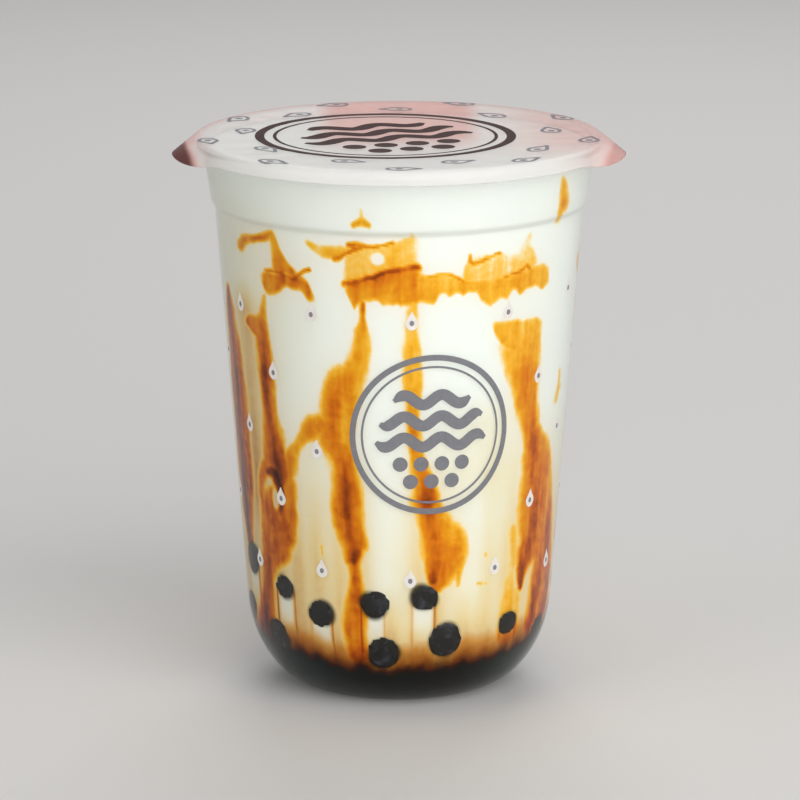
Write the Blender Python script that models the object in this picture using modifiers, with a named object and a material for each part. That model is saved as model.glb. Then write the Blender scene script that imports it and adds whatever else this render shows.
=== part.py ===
"""Bubble tea in a clear round-bottomed cup sealed with film, in metres, +Z up.

The cup stands on its foot ring with the origin in the middle of the face that
it rests on.  The front is -Y, and the film's two pull tabs point along X.
From the base up it holds a dark layer of syrup, a heap of tapioca pearls and
milk tea up to just under the film.
"""
import math
import random

import bmesh
import bpy
from mathutils import Vector

MM = 0.001
GAP = 0.3 * MM              # clearance between touching pieces
SEGMENTS = 56               # sides of every turned piece

# Cup: half a litre, 90 mm across the rim
RIM_RADIUS = 45.0 * MM
RIM_TOP_Z = 124.1 * MM
RIM_THICKNESS = 2.0 * MM
RIM_BEVEL = 0.45 * MM
COLLAR_TOP_RADIUS = 43.6 * MM   # stacking band under the rim
COLLAR_FOOT_RADIUS = 42.0 * MM
COLLAR_FOOT_Z = 111.0 * MM
SHOULDER_RADIUS = 41.1 * MM
SHOULDER_Z = 109.4 * MM     # top of the tapering wall
TAPER = 0.0753              # loss of radius for each unit of height
CORNER_HEIGHT = 20.0 * MM   # where the wall starts to turn in to the foot
CORNER_STEPS = 7
FOOT_RADIUS = 19.5 * MM
FOOT_WIDTH = 3.0 * MM
RECESS_HEIGHT = 1.3 * MM
WALL = 0.9 * MM
FLOOR_Z = RECESS_HEIGHT + WALL

# Sealing film with two pull tabs
FILM_THICKNESS = 0.4 * MM
FILM_FLAT_RADIUS = 44.7 * MM
FILM_EDGE_RADIUS = 46.2 * MM
FILM_EDGE_DROP = 3.2 * MM
TAB_REACH = 50.3 * MM
TAB_HALF_ANGLE = math.radians(17)
TAB_TURN = math.radians(7)  # both tabs lean towards the front
TAB_HANG = 1.3 * MM         # further drop of a tab's front corner
HANG_HALF_ANGLE = math.radians(15)
HANG_TURN = math.radians(18)

# Contents
SYRUP_TOP_Z = 10.0 * MM
HEAP_CORE_TOP_Z = 31.0 * MM
HEAP_CORE_SHOULDER_Z = 28.5 * MM
HEAP_CORE_INSET = 5.5 * MM  # from the cup's inner wall to the heap's core
MILK_TOP_Z = 121.2 * MM
PEARL_RADIUS = 4.5 * MM
PEARL_PATCH_RADIUS = 3.3 * MM   # of the spot that a pearl presses on the wall
PEARL_SIDES = 10
PEARL_RINGS = 7
# Angle from the front towards +X in degrees, and height in mm
FRONT_PEARLS = (
    (-76, 18.7), (-69, 30.8), (-54, 15.0), (-47, 26.9), (-30, 22.7),
    (-9.5, 25.6), (-6, 14.3), (9, 27.5), (17.5, 17.3), (45.5, 19.0),
)
BACK_PEARL_ANGLES = (70, 262)   # where the evenly spread back pearls start and end
BACK_PEARL_COUNT = 12
BACK_PEARL_HEIGHTS = (15.8, 25.8)   # of the two staggered rows, in mm


def clear_scene():
    """Remove every object that the file holds."""
    for obj in list(bpy.data.objects):
        bpy.data.objects.remove(obj, do_unlink=True)


def make_collection(name):
    """Return a new collection linked to the scene."""
    collection = bpy.data.collections.new(name)
    bpy.context.scene.collection.children.link(collection)
    return collection


def make_material(name, colour, roughness, alpha=1.0, transmission=0.0):
    """Return a Principled material of one colour."""
    material = bpy.data.materials.new(name)
    material.use_nodes = True
    shader = material.node_tree.nodes["Principled BSDF"]
    shader.inputs["Base Color"].default_value = (*colour, 1.0)
    shader.inputs["Roughness"].default_value = roughness
    shader.inputs["Metallic"].default_value = 0.0
    shader.inputs["Alpha"].default_value = alpha
    shader.inputs["Transmission Weight"].default_value = transmission
    return material


def add_object(name, mesh, collection, material=None):
    """Link a mesh to a collection as a named object."""
    obj = bpy.data.objects.new(name, mesh)
    collection.objects.link(obj)
    if material:
        mesh.materials.clear()
        mesh.materials.append(material)
    return obj


def turned(name, profile, collection, material=None):
    """Turn a profile of (radius, height) points about Z, outer side running down."""
    mesh = bpy.data.meshes.new(name)
    points = [(radius, 0.0, height) for radius, height in profile]
    mesh.from_pydata(points, [(i, i + 1) for i in range(len(points) - 1)], [])
    obj = add_object(name, mesh, collection, material)
    screw = obj.modifiers.new("Turn", 'SCREW')
    screw.axis = 'Z'
    screw.angle = math.tau
    screw.steps = SEGMENTS
    screw.render_steps = SEGMENTS
    screw.use_merge_vertices = True
    screw.merge_threshold = 0.00001
    apply_modifiers(obj)
    return obj


def apply_modifiers(obj):
    """Give the object the mesh that its modifiers make, and drop them."""
    graph = bpy.context.evaluated_depsgraph_get()
    mesh = bpy.data.meshes.new_from_object(obj.evaluated_get(graph))
    obj.modifiers.clear()
    obj.data = mesh


def combine(obj, operation, other):
    """Apply a Boolean between the object and another object or a whole collection."""
    boolean = obj.modifiers.new(operation.title(), 'BOOLEAN')
    boolean.operation = operation
    if isinstance(other, bpy.types.Collection):
        boolean.operand_type = 'COLLECTION'
        boolean.collection = other
    else:
        boolean.object = other
    apply_modifiers(obj)


def keep_largest_piece(obj):
    """Delete the loose scraps that a cut has left beside the main body."""
    mesh = bmesh.new()
    mesh.from_mesh(obj.data)
    waiting = set(mesh.verts)
    pieces = []
    while waiting:
        piece = {waiting.pop()}
        edge_of_piece = list(piece)
        while edge_of_piece:
            vert = edge_of_piece.pop()
            for edge in vert.link_edges:
                other = edge.other_vert(vert)
                if other in waiting:
                    waiting.remove(other)
                    piece.add(other)
                    edge_of_piece.append(other)
        pieces.append(piece)
    largest = max(pieces, key=len)
    scraps = [vert for piece in pieces if piece is not largest for vert in piece]
    bmesh.ops.delete(mesh, geom=scraps, context='VERTS')
    mesh.to_mesh(obj.data)
    mesh.free()


def remove_cutters(collection):
    """Remove the objects that only served to cut or to be joined."""
    for obj in list(collection.objects):
        bpy.data.objects.remove(obj, do_unlink=True)


def shade(obj):
    """Shade the round sides smooth and keep the real edges sharp."""
    obj.data.shade_smooth()
    obj.data.set_sharp_from_angle(angle=math.radians(35))


def taper_radius(height):
    """Outer radius of the straight tapering wall at a height."""
    return SHOULDER_RADIUS - TAPER * (SHOULDER_Z - height)


def floor_height(inset):
    """Height of the floor under a surface that lies inset inside the outer wall."""
    return RECESS_HEIGHT + inset if inset else 0.0


def wall_radius(height, inset=0.0):
    """Radius at a height, measured inset inside the cup's outer wall.

    The curve is the taper less an elliptical turn-in between the corner's
    height and the floor, which rises by the inset as well.
    """
    line = taper_radius(height) - inset
    if height >= CORNER_HEIGHT:
        return line
    floor = floor_height(inset)
    reach = taper_radius(floor) - FOOT_RADIUS
    drop = min(1.0, (CORNER_HEIGHT - height) / (CORNER_HEIGHT - floor))
    return line - reach * (1 - math.sqrt(1 - drop * drop))


def corner_profile(inset=0.0, lowest=0.0):
    """Points of the rounded corner, from the straight wall down to a lowest height."""
    floor = floor_height(inset)
    points = []
    for step in range(CORNER_STEPS + 1):
        turn = math.radians(90) * step / CORNER_STEPS
        height = CORNER_HEIGHT - (CORNER_HEIGHT - floor) * math.sin(turn)
        if height > lowest - GAP:
            points.append((wall_radius(height, inset), height))
    return points


def make_cup(collection):
    """Thin-walled cup: rim flange, stacking collar, tapering wall, rounded foot."""
    inner_wall = corner_profile(WALL)
    inner_wall.reverse()
    rim_foot_z = RIM_TOP_Z - RIM_THICKNESS
    inner = [(0, FLOOR_Z)] + inner_wall + [
        (SHOULDER_RADIUS - WALL, SHOULDER_Z),
        (COLLAR_FOOT_RADIUS - WALL, COLLAR_FOOT_Z),
        (COLLAR_TOP_RADIUS - WALL, RIM_TOP_Z - RIM_BEVEL),
        (COLLAR_TOP_RADIUS - WALL + RIM_BEVEL, RIM_TOP_Z),
    ]
    outer = [
        (RIM_RADIUS - RIM_BEVEL, RIM_TOP_Z),
        (RIM_RADIUS, RIM_TOP_Z - RIM_BEVEL),
        (RIM_RADIUS, rim_foot_z + RIM_BEVEL),
        (RIM_RADIUS - RIM_BEVEL, rim_foot_z),
        (COLLAR_TOP_RADIUS, rim_foot_z),
        (COLLAR_FOOT_RADIUS, COLLAR_FOOT_Z),
        (SHOULDER_RADIUS, SHOULDER_Z),
    ] + corner_profile()
    base = [
        (FOOT_RADIUS - FOOT_WIDTH, 0),
        (FOOT_RADIUS - FOOT_WIDTH - RECESS_HEIGHT, RECESS_HEIGHT),
        (0, RECESS_HEIGHT),
    ]
    clear_plastic = make_material("clear_cup", (0.90, 0.92, 0.92), 0.12, 0.35, 1.0)
    return turned("cup", inner + outer + base, collection, clear_plastic)


def lobe(angle, centre, half_angle):
    """Raised cosine from 1 at an angle down to 0 at a half angle either side of it."""
    turn = (angle - centre + math.pi) % math.tau - math.pi
    if abs(turn) > half_angle:
        return 0.0
    return 0.5 + 0.5 * math.cos(math.pi * turn / half_angle)


def film_point(angle, outward):
    """Point on the film's top side, outward from 0 at the flat disc to 1 at the edge.

    The edge bends down over the rim in a quarter ellipse.  Each tab draws it
    out over a raised cosine of the angle, and hangs lower at its front corner.
    """
    bend = math.radians(90) * outward
    radius = FILM_FLAT_RADIUS + (FILM_EDGE_RADIUS - FILM_FLAT_RADIUS) * math.sin(bend)
    drop = FILM_EDGE_DROP * (1 - math.cos(bend))
    reach = TAB_REACH / math.cos(TAB_TURN) - FILM_EDGE_RADIUS
    for tab, corner in ((-TAB_TURN, -HANG_TURN), (math.pi + TAB_TURN, math.pi + HANG_TURN)):
        radius += reach * outward ** 1.5 * lobe(angle, tab, TAB_HALF_ANGLE) ** 0.8
        drop += TAB_HANG * outward ** 2 * lobe(angle, corner, HANG_HALF_ANGLE)
    top = RIM_TOP_Z + GAP + FILM_THICKNESS
    return Vector((radius * math.cos(angle), radius * math.sin(angle), top - drop))


def make_film(collection):
    """Sealing film: a flat disc whose edge bends down over the rim into two tabs."""
    outline_sides = 3 * SEGMENTS // 2
    mesh = bmesh.new()
    loops = []
    for outward in (0.0, 0.35, 0.7, 1.0):
        verts = [
            mesh.verts.new(film_point(math.tau * side / outline_sides, outward))
            for side in range(outline_sides)
        ]
        loops.append([
            mesh.edges.new((verts[side], verts[(side + 1) % outline_sides]))
            for side in range(outline_sides)
        ])
    for inner, outer in zip(loops, loops[1:]):
        bmesh.ops.bridge_loops(mesh, edges=inner + outer)
    bmesh.ops.contextual_create(mesh, geom=loops[0])
    bmesh.ops.recalc_face_normals(mesh, faces=mesh.faces)
    data = bpy.data.meshes.new("seal_film")
    mesh.to_mesh(data)
    mesh.free()
    film = make_material("printed_film", (0.80, 0.74, 0.72), 0.25, 0.6)
    obj = add_object("seal_film", data, collection, film)
    solidify = obj.modifiers.new("Thickness", 'SOLIDIFY')
    solidify.thickness = FILM_THICKNESS
    solidify.offset = -1.0
    apply_modifiers(obj)
    return obj


def make_syrup(collection):
    """Dark syrup filling the cup's rounded bottom up to its level."""
    clearance = WALL + GAP
    side = [point for point in corner_profile(clearance) if point[1] < SYRUP_TOP_Z - GAP]
    rim = (wall_radius(SYRUP_TOP_Z, clearance), SYRUP_TOP_Z)
    profile = [(0, SYRUP_TOP_Z), rim] + side + [(0, floor_height(clearance))]
    syrup = make_material("brown_sugar_syrup", (0.05, 0.02, 0.01), 0.2)
    return turned("brown_sugar_syrup", profile, collection, syrup)


def inner_side_profile(top, bottom):
    """Points down the inside of the tapering wall and corner, clear of the cup."""
    clearance = WALL + GAP
    side = [(wall_radius(top, clearance), top)]
    side += corner_profile(clearance, bottom + 2 * GAP)
    side.append((wall_radius(bottom, clearance), bottom))
    return side


def pearl_places():
    """Angles in degrees and heights in mm of the pearls at the wall, front ones first."""
    places = list(FRONT_PEARLS)
    first, last = BACK_PEARL_ANGLES
    spread = random.Random(7)
    for index in range(BACK_PEARL_COUNT):
        angle = first + (last - first) * index / (BACK_PEARL_COUNT - 1)
        height = BACK_PEARL_HEIGHTS[index % 2]
        places.append((
            angle + spread.uniform(-3, 3),
            height + spread.uniform(-2.0, 2.5),
        ))
    return places


def add_pearl(angle, height, growth, collection):
    """Add one pearl pressed on the wall, its radius grown by a clearance.

    Its centre lies on the wall's inward normal, as deep as leaves a round spot
    of the pressed size where the ball meets the inner face.
    """
    depth = math.sqrt(PEARL_RADIUS ** 2 - PEARL_PATCH_RADIUS ** 2)
    inner = WALL + GAP
    step = 0.5 * MM
    slope = (wall_radius(height + step, inner) - wall_radius(height - step, inner)) / (2 * step)
    lean = math.atan(slope)
    radius = wall_radius(height, inner) - depth * math.cos(lean)
    mesh = bpy.data.meshes.new("pearl")
    ball = bmesh.new()
    bmesh.ops.create_uvsphere(
        ball, u_segments=PEARL_SIDES, v_segments=PEARL_RINGS, radius=PEARL_RADIUS + growth
    )
    ball.to_mesh(mesh)
    ball.free()
    pearl = add_object("pearl", mesh, collection)
    around = math.radians(angle - 90)
    pearl.location = (
        radius * math.cos(around),
        radius * math.sin(around),
        height + depth * math.sin(lean),
    )
    pearl.rotation_euler = (0, math.radians(90), around)
    pearl.hide_render = True
    pearl.display_type = 'WIRE'
    return pearl


def make_heap(name, growth, collection, cutters, material=None):
    """Heap of pearls: a plain core with the pearls along the wall fused to it."""
    inset = WALL + HEAP_CORE_INSET
    bottom = SYRUP_TOP_Z + GAP
    core_profile = [
        (0, HEAP_CORE_TOP_Z + growth),
        (0.7 * wall_radius(HEAP_CORE_TOP_Z, inset), HEAP_CORE_TOP_Z - 1.0 * MM + growth),
        (wall_radius(HEAP_CORE_SHOULDER_Z, inset) + growth, HEAP_CORE_SHOULDER_Z + growth),
    ]
    core_profile += [
        (radius + growth, height) for radius, height in corner_profile(inset, bottom + 2 * GAP)
    ]
    core_profile += [
        (wall_radius(bottom, inset) + growth, bottom - 5 * growth),
        (0, bottom - 5 * growth),
    ]
    heap = turned(name, core_profile, collection, material)
    for angle, height in pearl_places():
        add_pearl(angle, height * MM, growth, cutters)
    bpy.context.view_layer.update()
    combine(heap, 'UNION', cutters)
    remove_cutters(cutters)
    return heap


def make_pearls(collection, cutters):
    """The heap trimmed to the space over the syrup and inside the cup's wall."""
    pearl = make_material("tapioca_pearl", (0.012, 0.010, 0.007), 0.18)
    heap = make_heap("pearls", 0.0, collection, cutters, pearl)
    top = HEAP_CORE_TOP_Z + 3 * PEARL_RADIUS
    bottom = SYRUP_TOP_Z + GAP
    profile = [(0, top)] + inner_side_profile(top, bottom) + [(0, bottom)]
    space = turned("heap_space", profile, cutters)
    combine(heap, 'INTERSECT', space)
    remove_cutters(cutters)
    keep_largest_piece(heap)
    return heap


def make_milk(collection, cutters):
    """Milk tea from the syrup up to its level, hollowed round the pearl heap."""
    clearance = WALL + GAP
    bottom = SYRUP_TOP_Z + GAP
    flare = (COLLAR_TOP_RADIUS - COLLAR_FOOT_RADIUS) / (RIM_TOP_Z - RIM_BEVEL - COLLAR_FOOT_Z)
    rim = COLLAR_FOOT_RADIUS + flare * (MILK_TOP_Z - COLLAR_FOOT_Z)
    profile = [
        (0, MILK_TOP_Z),
        (rim - clearance, MILK_TOP_Z),
        (COLLAR_FOOT_RADIUS - clearance, COLLAR_FOOT_Z),
    ]
    profile += inner_side_profile(SHOULDER_Z, bottom) + [(0, bottom)]
    milk_tea = make_material("milk_tea", (0.90, 0.84, 0.70), 0.3)
    milk = turned("milk_tea", profile, collection, milk_tea)
    hollow = make_heap("hollow", GAP, cutters, make_collection("hollow_parts"))
    combine(milk, 'DIFFERENCE', hollow)
    remove_cutters(cutters)
    keep_largest_piece(milk)
    return milk


def main():
    """Build the bubble tea from the cup inwards."""
    clear_scene()
    drink = make_collection("bubble_tea")
    cutters = make_collection("cutters")
    pieces = [
        make_cup(drink),
        make_film(drink),
        make_syrup(drink),
        make_pearls(drink, cutters),
        make_milk(drink, cutters),
    ]
    for piece in pieces:
        shade(piece)


main()
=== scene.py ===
"""Brown sugar bubble tea in a film-sealed, round-bottomed clear cup.

Laid out as an add-on: its operators dress the fixed solids of the cup, film,
milk tea, pearls and syrup, and set up the floor, lights and camera.
Lengths are in metres unless a name or the comment over it says mm; the front
of the drink is -Y.
"""
import math
import random

import bpy
import numpy as np
from bpy.props import FloatProperty, FloatVectorProperty, IntProperty, PointerProperty
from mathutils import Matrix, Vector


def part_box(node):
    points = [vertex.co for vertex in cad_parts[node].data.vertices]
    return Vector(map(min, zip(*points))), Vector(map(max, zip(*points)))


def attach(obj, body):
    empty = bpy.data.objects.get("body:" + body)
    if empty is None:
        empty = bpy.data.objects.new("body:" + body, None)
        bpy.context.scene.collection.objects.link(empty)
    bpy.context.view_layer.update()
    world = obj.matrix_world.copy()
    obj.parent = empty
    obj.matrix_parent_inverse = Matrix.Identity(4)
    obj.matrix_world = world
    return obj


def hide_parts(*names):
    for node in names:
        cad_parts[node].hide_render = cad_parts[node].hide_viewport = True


bl_info = {
    "name": "Bubble Tea",
    "version": (1, 0, 0),
    "blender": (4, 5, 0),
    "location": "3D View > Sidebar > Bubble Tea",
    "description": "Builds a sealed cup of brown sugar bubble tea around its solids",
    "category": "Add Mesh",
}

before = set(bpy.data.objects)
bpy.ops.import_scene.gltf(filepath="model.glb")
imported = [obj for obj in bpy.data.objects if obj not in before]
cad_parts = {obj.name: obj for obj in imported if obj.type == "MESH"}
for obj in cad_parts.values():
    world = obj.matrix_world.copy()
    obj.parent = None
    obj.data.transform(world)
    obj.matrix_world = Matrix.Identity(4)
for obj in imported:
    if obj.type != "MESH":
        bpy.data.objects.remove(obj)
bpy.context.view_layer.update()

MM = 0.001
BODY = "root"

# Cup, after its solid
RIM_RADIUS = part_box("cup")[1].x
RIM_TOP_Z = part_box("cup")[1].z
RIM_THICKNESS = 2.0 * MM
RIM_FILLET = 0.55 * MM
COLLAR_TOP_RADIUS = 43.6 * MM
COLLAR_FOOT_RADIUS = 42.0 * MM
COLLAR_FOOT_Z = 111.0 * MM
SHOULDER_RADIUS = 41.1 * MM
SHOULDER_Z = 109.4 * MM
TAPER = 0.0753
CORNER_HEIGHT = 20.0 * MM
FOOT_RADIUS = 19.5 * MM
FOOT_WIDTH = 3.0 * MM
RECESS_HEIGHT = 1.3 * MM
WALL = 0.9 * MM
CUP_ROW_SPACING = 0.8 * MM
CUP_CORNER_ROWS = 24

# Film, after its solid
FILM_TOP_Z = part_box("seal_film")[1].z
FILM_THICKNESS = 0.4 * MM
FILM_FLAT_RADIUS = 44.7 * MM
FILM_EDGE_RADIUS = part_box("seal_film")[1].y
FILM_EDGE_DROP = 3.2 * MM
FILM_EDGE_LENGTH = 3.7 * MM     # about its length along the bend
FILM_DIP = 0.06 * MM        # leaves room for the ink under the solid's top
FILM_SAG = 0.45 * MM        # further dip of the middle
FILM_RIPPLE = 0.05 * MM
FILM_COLUMNS = 360
FILM_FLAT_ROWS = 26
FILM_EDGE_ROWS = 13
TAB_REACH = 50.2 * MM
TAB_HALF_ANGLE = math.radians(17)
TAB_TURN = math.radians(7)
TAB_HANG = 1.3 * MM
HANG_HALF_ANGLE = math.radians(15)
HANG_TURN = math.radians(18)

# Contents, after their solids
MILK_TOP_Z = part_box("milk_tea")[1].z
SYRUP_TOP_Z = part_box("brown_sugar_syrup")[1].z
PEARL_RADIUS = 4.5 * MM
HEAP_CORE_TOP_Z = 31.0 * MM
HEAP_CORE_SHOULDER_Z = 28.5 * MM
HEAP_CORE_INSET = 5.5 * MM
HEAP_CORE_SINK = 3.0 * MM   # makes room for loose pearls on top of the core
HEAP_CORE_TOP_SHARE = 0.7   # width of its flat top in that of its side
HEAP_CORE_SPACING = 1.5 * MM
HEAP_CORE_SIDES = 96
BITE = 0.15 * MM            # how far the drink reaches into the cup's wall
PEARL_PROUD = 0.05 * MM     # how far a pearl's pressed face stands out of the drink
LAYER_GAP = 0.3 * MM        # from the syrup's top to the heap
LAYER_OVERLAP = 0.02 * MM   # how far the syrup's top reaches into the milk
MILK_CLIMB = 0.5 * MM       # rise of the milk's top beside the wall
MILK_CLIMB_WIDTH = 2.5 * MM
MILK_TOP_ROWS = 22
SYRUP_CORNER_ROWS = 40
# Angle from the front towards +X in degrees, and height in mm
FRONT_PEARLS = (
    (-76, 18.7), (-69, 30.8), (-54, 15.0), (-47, 26.9), (-30, 22.7),
    (-9.5, 25.6), (-6, 14.3), (9, 27.5), (17.5, 17.3), (45.5, 19.0),
)
BACK_PEARL_ANGLES = (70, 262)
BACK_PEARL_COUNT = 12
BACK_PEARL_HEIGHTS = (15.8, 25.8)
BACK_PEARL_SEED = 7
BACK_PEARL_SHIFTS = (-3, 3)
BACK_PEARL_LIFTS = (-2.0, 2.5)
# Radius of the spot that each of them shows through the wall, the front ones first
SPOTS_MM = (3.2, 3.6, 3.4, 2.6, 3.1, 3.1, 3.5, 3.0, 3.7, 2.5, *[2.9] * BACK_PEARL_COUNT)
# Rings of pearls on top of the heap: radius in mm and how many lie on it
TOP_PEARL_RINGS = ((24.5, 15), (16.0, 10), (8.0, 5))
TOP_PEARL_DEPTH = 3.6 * MM  # of their centres under the heap's top
TOP_PEARL_SEED = 3
PEARL_ROWS = 17             # of points on a pearl, between its poles
PEARL_COLUMNS = 28

# Syrup run down the inside of the wall, front half.  Each streak has its depth
# of colour at its first and last point, from 0 for none to 1 for nearly black,
# and points of angle in degrees, height in mm and half width in mm.
STREAKS = {
    "edge": (0.74, 0.84, (
        (-72.5, 92.5, 0.9), (-72, 87, 2.8), (-71.5, 80, 4.0), (-71, 72, 4.6), (-71, 62, 4.8),
        (-71.5, 50, 4.8), (-71.5, 42, 3.8), (-71, 35, 2.2),
    )),
    "left": (0.68, 0.76, (
        (-50.5, 87, 2.2), (-50.6, 82.3, 2.5), (-50, 77.8, 2.3), (-49.5, 72, 2.1),
        (-48.8, 67.7, 2.2), (-49, 62.5, 3.2), (-48.6, 57.4, 3.7), (-45.5, 53.6, 3.4),
    )),
    "left_low": (0.70, 0.82, (
        (-49.6, 43.4, 5.8), (-50, 39.9, 5.4), (-51.3, 36.2, 4.6), (-55, 32.2, 2.9),
        (-57.4, 27.2, 2.7), (-59.3, 22.3, 2.9), (-61.8, 16, 4.0),
    )),
    "left_limb": (0.66, 0.60, ((-53, 54.5, 1.8), (-57, 50.6, 1.4), (-58, 47, 1.3), (-56, 42, 2.2))),
    "left_side": (0.62, 0.66, ((-42, 52, 1.8), (-41.8, 47.9, 1.7), (-42, 43, 2.0), (-44, 39, 2.2))),
    "left_knot": (0.86, 0.80, (
        (-52, 53.3, 1.2), (-48.5, 53, 1.8), (-46.2, 50.5, 1.5), (-45.8, 47, 1.2), (-47, 44.5, 0.9),
    )),
    "left_root": (0.40, 0.56, ((-47.8, 93.6, 0.6), (-48.6, 90, 1.0), (-50, 87, 1.8))),
    "link": (0.55, 0.60, (
        (-27, 67, 2.2), (-31.6, 64.9, 2.3), (-35, 62.4, 1.3), (-37.8, 60, 1.2), (-40, 57.4, 2.0),
        (-42, 54.5, 2.0),
    )),
    "second_root": (0.70, 0.48, ((-11.5, 94.3, 0.7), (-11.6, 91.8, 0.6), (-11.7, 89, 1.2))),
    "second": (0.42, 0.76, (
        (-11.8, 88, 1.5), (-12.1, 84.2, 2.0), (-13.2, 81.4, 2.2), (-15, 78.4, 2.9),
        (-18.2, 76, 3.9), (-19.8, 72.7, 3.9), (-21.6, 68.5, 3.8), (-22.3, 63.8, 3.8),
        (-20.8, 60.8, 2.8), (-19.5, 57.5, 2.7), (-18.3, 53, 2.9), (-18.2, 48, 3.3),
        (-17.8, 44, 3.2), (-16.7, 40, 2.8), (-17.1, 36, 1.7),
    )),
    "second_low": (0.56, 0.62, (
        (-17.1, 37, 1.5), (-16.4, 32.5, 1.4), (-16, 28, 2.1), (-16.3, 23, 2.8), (-16.6, 18, 2.6),
        (-16.1, 14, 2.2),
    )),
    "third": (0.28, 0.68, (
        (4.4, 95, 1.0), (4, 90, 1.2), (3.6, 87, 1.6), (4, 83, 1.9), (4.3, 78, 1.8), (4.5, 71, 1.4),
        (5, 66, 1.4), (5.5, 61, 1.5), (6.9, 57.5, 1.9), (8.4, 53.6, 2.3), (9.5, 50, 2.9),
    )),
    "third_low": (0.52, 0.60, (
        (9.5, 51, 2.6), (11.5, 46, 3.2), (14.1, 43, 3.7), (16.3, 40, 4.6), (16.6, 37.2, 4.7),
        (16.4, 34.5, 3.8), (15.4, 32, 2.6), (13.8, 29.5, 1.1),
    )),
    "third_core": (0.60, 0.74, (
        (9.8, 49, 1.0), (11.5, 45.5, 1.6), (12.7, 41.5, 2.4), (13.2, 37.5, 2.6), (12.8, 34, 2.2),
        (12.6, 31, 1.2),
    )),
    "third_tip": (0.58, 0.42, ((20.5, 38, 2.2), (21.8, 34, 1.3), (22.2, 29.6, 0.5))),
    "fourth_top": (0.38, 0.56, (
        (43.5, 82.5, 5.4), (45, 80.5, 5.3), (46, 77.8, 4.8), (47, 74.2, 4.0),
    )),
    "fourth": (0.58, 0.66, (
        (47, 75.5, 3.6), (48, 70.5, 3.4), (49.6, 66.8, 3.1), (50.8, 62.8, 2.7), (53, 60, 3.2),
        (56.3, 56.3, 4.9), (57.8, 52.4, 5.8),
    )),
    "fourth_low": (0.64, 0.74, (
        (57.8, 53, 5.4), (58.3, 49, 6.2), (59, 45, 6.6), (60, 41.4, 6.8), (59.5, 38, 6.0),
        (54.5, 34.5, 3.6), (52, 31, 2.2), (51, 26.5, 0.9),
    )),
    "right_low": (0.64, 0.74, (
        (66, 42, 4.0), (70, 35, 3.6), (72.5, 29, 3.6), (73, 24, 3.4), (70, 17, 3.0),
    )),
    "right_foot": (0.62, 0.72, ((64, 34, 2.2), (63.5, 29, 3.0), (63, 23, 3.0), (60, 17, 2.4))),
    "right_thin": (0.34, 0.30, ((68.7, 74.2, 0.7), (68.9, 70.7, 1.2), (67.2, 67.5, 0.8))),
    "right_sand": (0.30, 0.46, ((45, 28.5, 1.4), (46, 24.1, 2.6), (46, 17, 3.2))),
    "rim_drip": (0.34, 0.60, ((56, 119, 0.8), (58.1, 116, 1.6), (59.1, 113.4, 1.9))),
    "rim_drip_low": (0.56, 0.34, ((59, 113.6, 1.7), (57.8, 111.6, 1.3), (58, 109.6, 0.9))),
    "small_drip": (0.26, 0.34, ((-11.3, 115.4, 0.3), (-11.4, 113, 0.4))),
    "small_drip_low": (0.50, 0.46, ((-13.6, 112.1, 0.6), (-11.4, 112.7, 1.0), (-9.1, 112.2, 0.6))),
    "fold_arm": (0.62, 0.55, (
        (-59.6, 103.7, 1.1), (-57.6, 104.9, 1.2), (-53.9, 106, 0.9), (-49.7, 106.6, 0.8),
        (-45.9, 107.1, 0.9), (-43.1, 108, 0.9),
    )),
    "fold_shade": (0.66, 0.72, (
        (-47, 99.4, 0.5), (-44.2, 99.8, 0.5), (-41.2, 99.5, 0.55), (-37.9, 99, 0.6),
        (-35.6, 99, 0.6), (-33.3, 99.8, 0.5), (-31, 100.7, 0.5), (-28.8, 101.2, 0.4),
    )),
    "wedge_line": (0.66, 0.55, (
        (-15.9, 107.8, 0.5), (-13.1, 107.6, 0.6), (-10, 107, 0.5), (-7.6, 107, 0.45),
        (-4.5, 107.7, 0.35), (-1.5, 108.5, 0.3),
    )),
    "wedge_low": (0.55, 0.68, (
        (-20.5, 104, 0.6), (-18.8, 104.8, 0.6), (-16.6, 105.9, 0.5), (-14.3, 106.6, 0.6),
        (-11.8, 106.9, 0.6),
    )),
    "pool_shade": (0.72, 0.78, (
        (-17.5, 98.8, 0.7), (-15.2, 99, 0.8), (-13, 99.4, 0.8), (-10.5, 100.1, 0.7),
        (-7.4, 100.8, 0.8), (-4.3, 101.5, 0.7), (-0.6, 102.1, 0.8), (2.4, 102.4, 0.9),
        (4.9, 102.7, 0.9),
    )),
    "band_edge": (0.50, 0.58, (
        (8.9, 100.7, 0.3), (12.6, 100.9, 0.35), (16.4, 100.8, 0.4), (18.4, 100.3, 0.4),
        (20.3, 99.4, 0.3),
    )),
    "line_one": (0.58, 0.54, (
        (22.3, 104.6, 0.35), (22.2, 103.5, 0.45), (23.5, 102.8, 0.4), (25.6, 103, 0.45),
        (29, 103.9, 0.4), (32.3, 104.8, 0.3),
    )),
    "line_two": (0.56, 0.62, (
        (34.5, 98.9, 0.3), (36.7, 99.3, 0.4), (39.9, 99.7, 0.45), (42.8, 100.3, 0.5),
        (44.6, 101.2, 0.5), (45.6, 100.4, 0.5),
    )),
    "band_tail": (0.24, 0.20, ((42.4, 104.6, 1.0), (43.8, 106.5, 0.7), (44.5, 108, 0.5))),
    "fleck_one": (0.46, 0.30, ((-28.8, 38.6, 0.35), (-28.6, 36.6, 0.3))),
    "fleck_two": (0.40, 0.24, (
        (45.6, 40.2, 1.4), (46.4, 37.4, 1.2), (46.2, 33.5, 1.5), (46, 30.5, 1.2),
    )),
    "fleck_three": (0.34, 0.30, ((33, 36.2, 0.3), (32.8, 35.4, 0.4))),
    "fleck_four": (0.36, 0.30, ((30, 29.6, 0.3), (34, 29.4, 0.35))),
}
SPREAD = 1.15               # widens every half width, because the colour thins out at the edge
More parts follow.
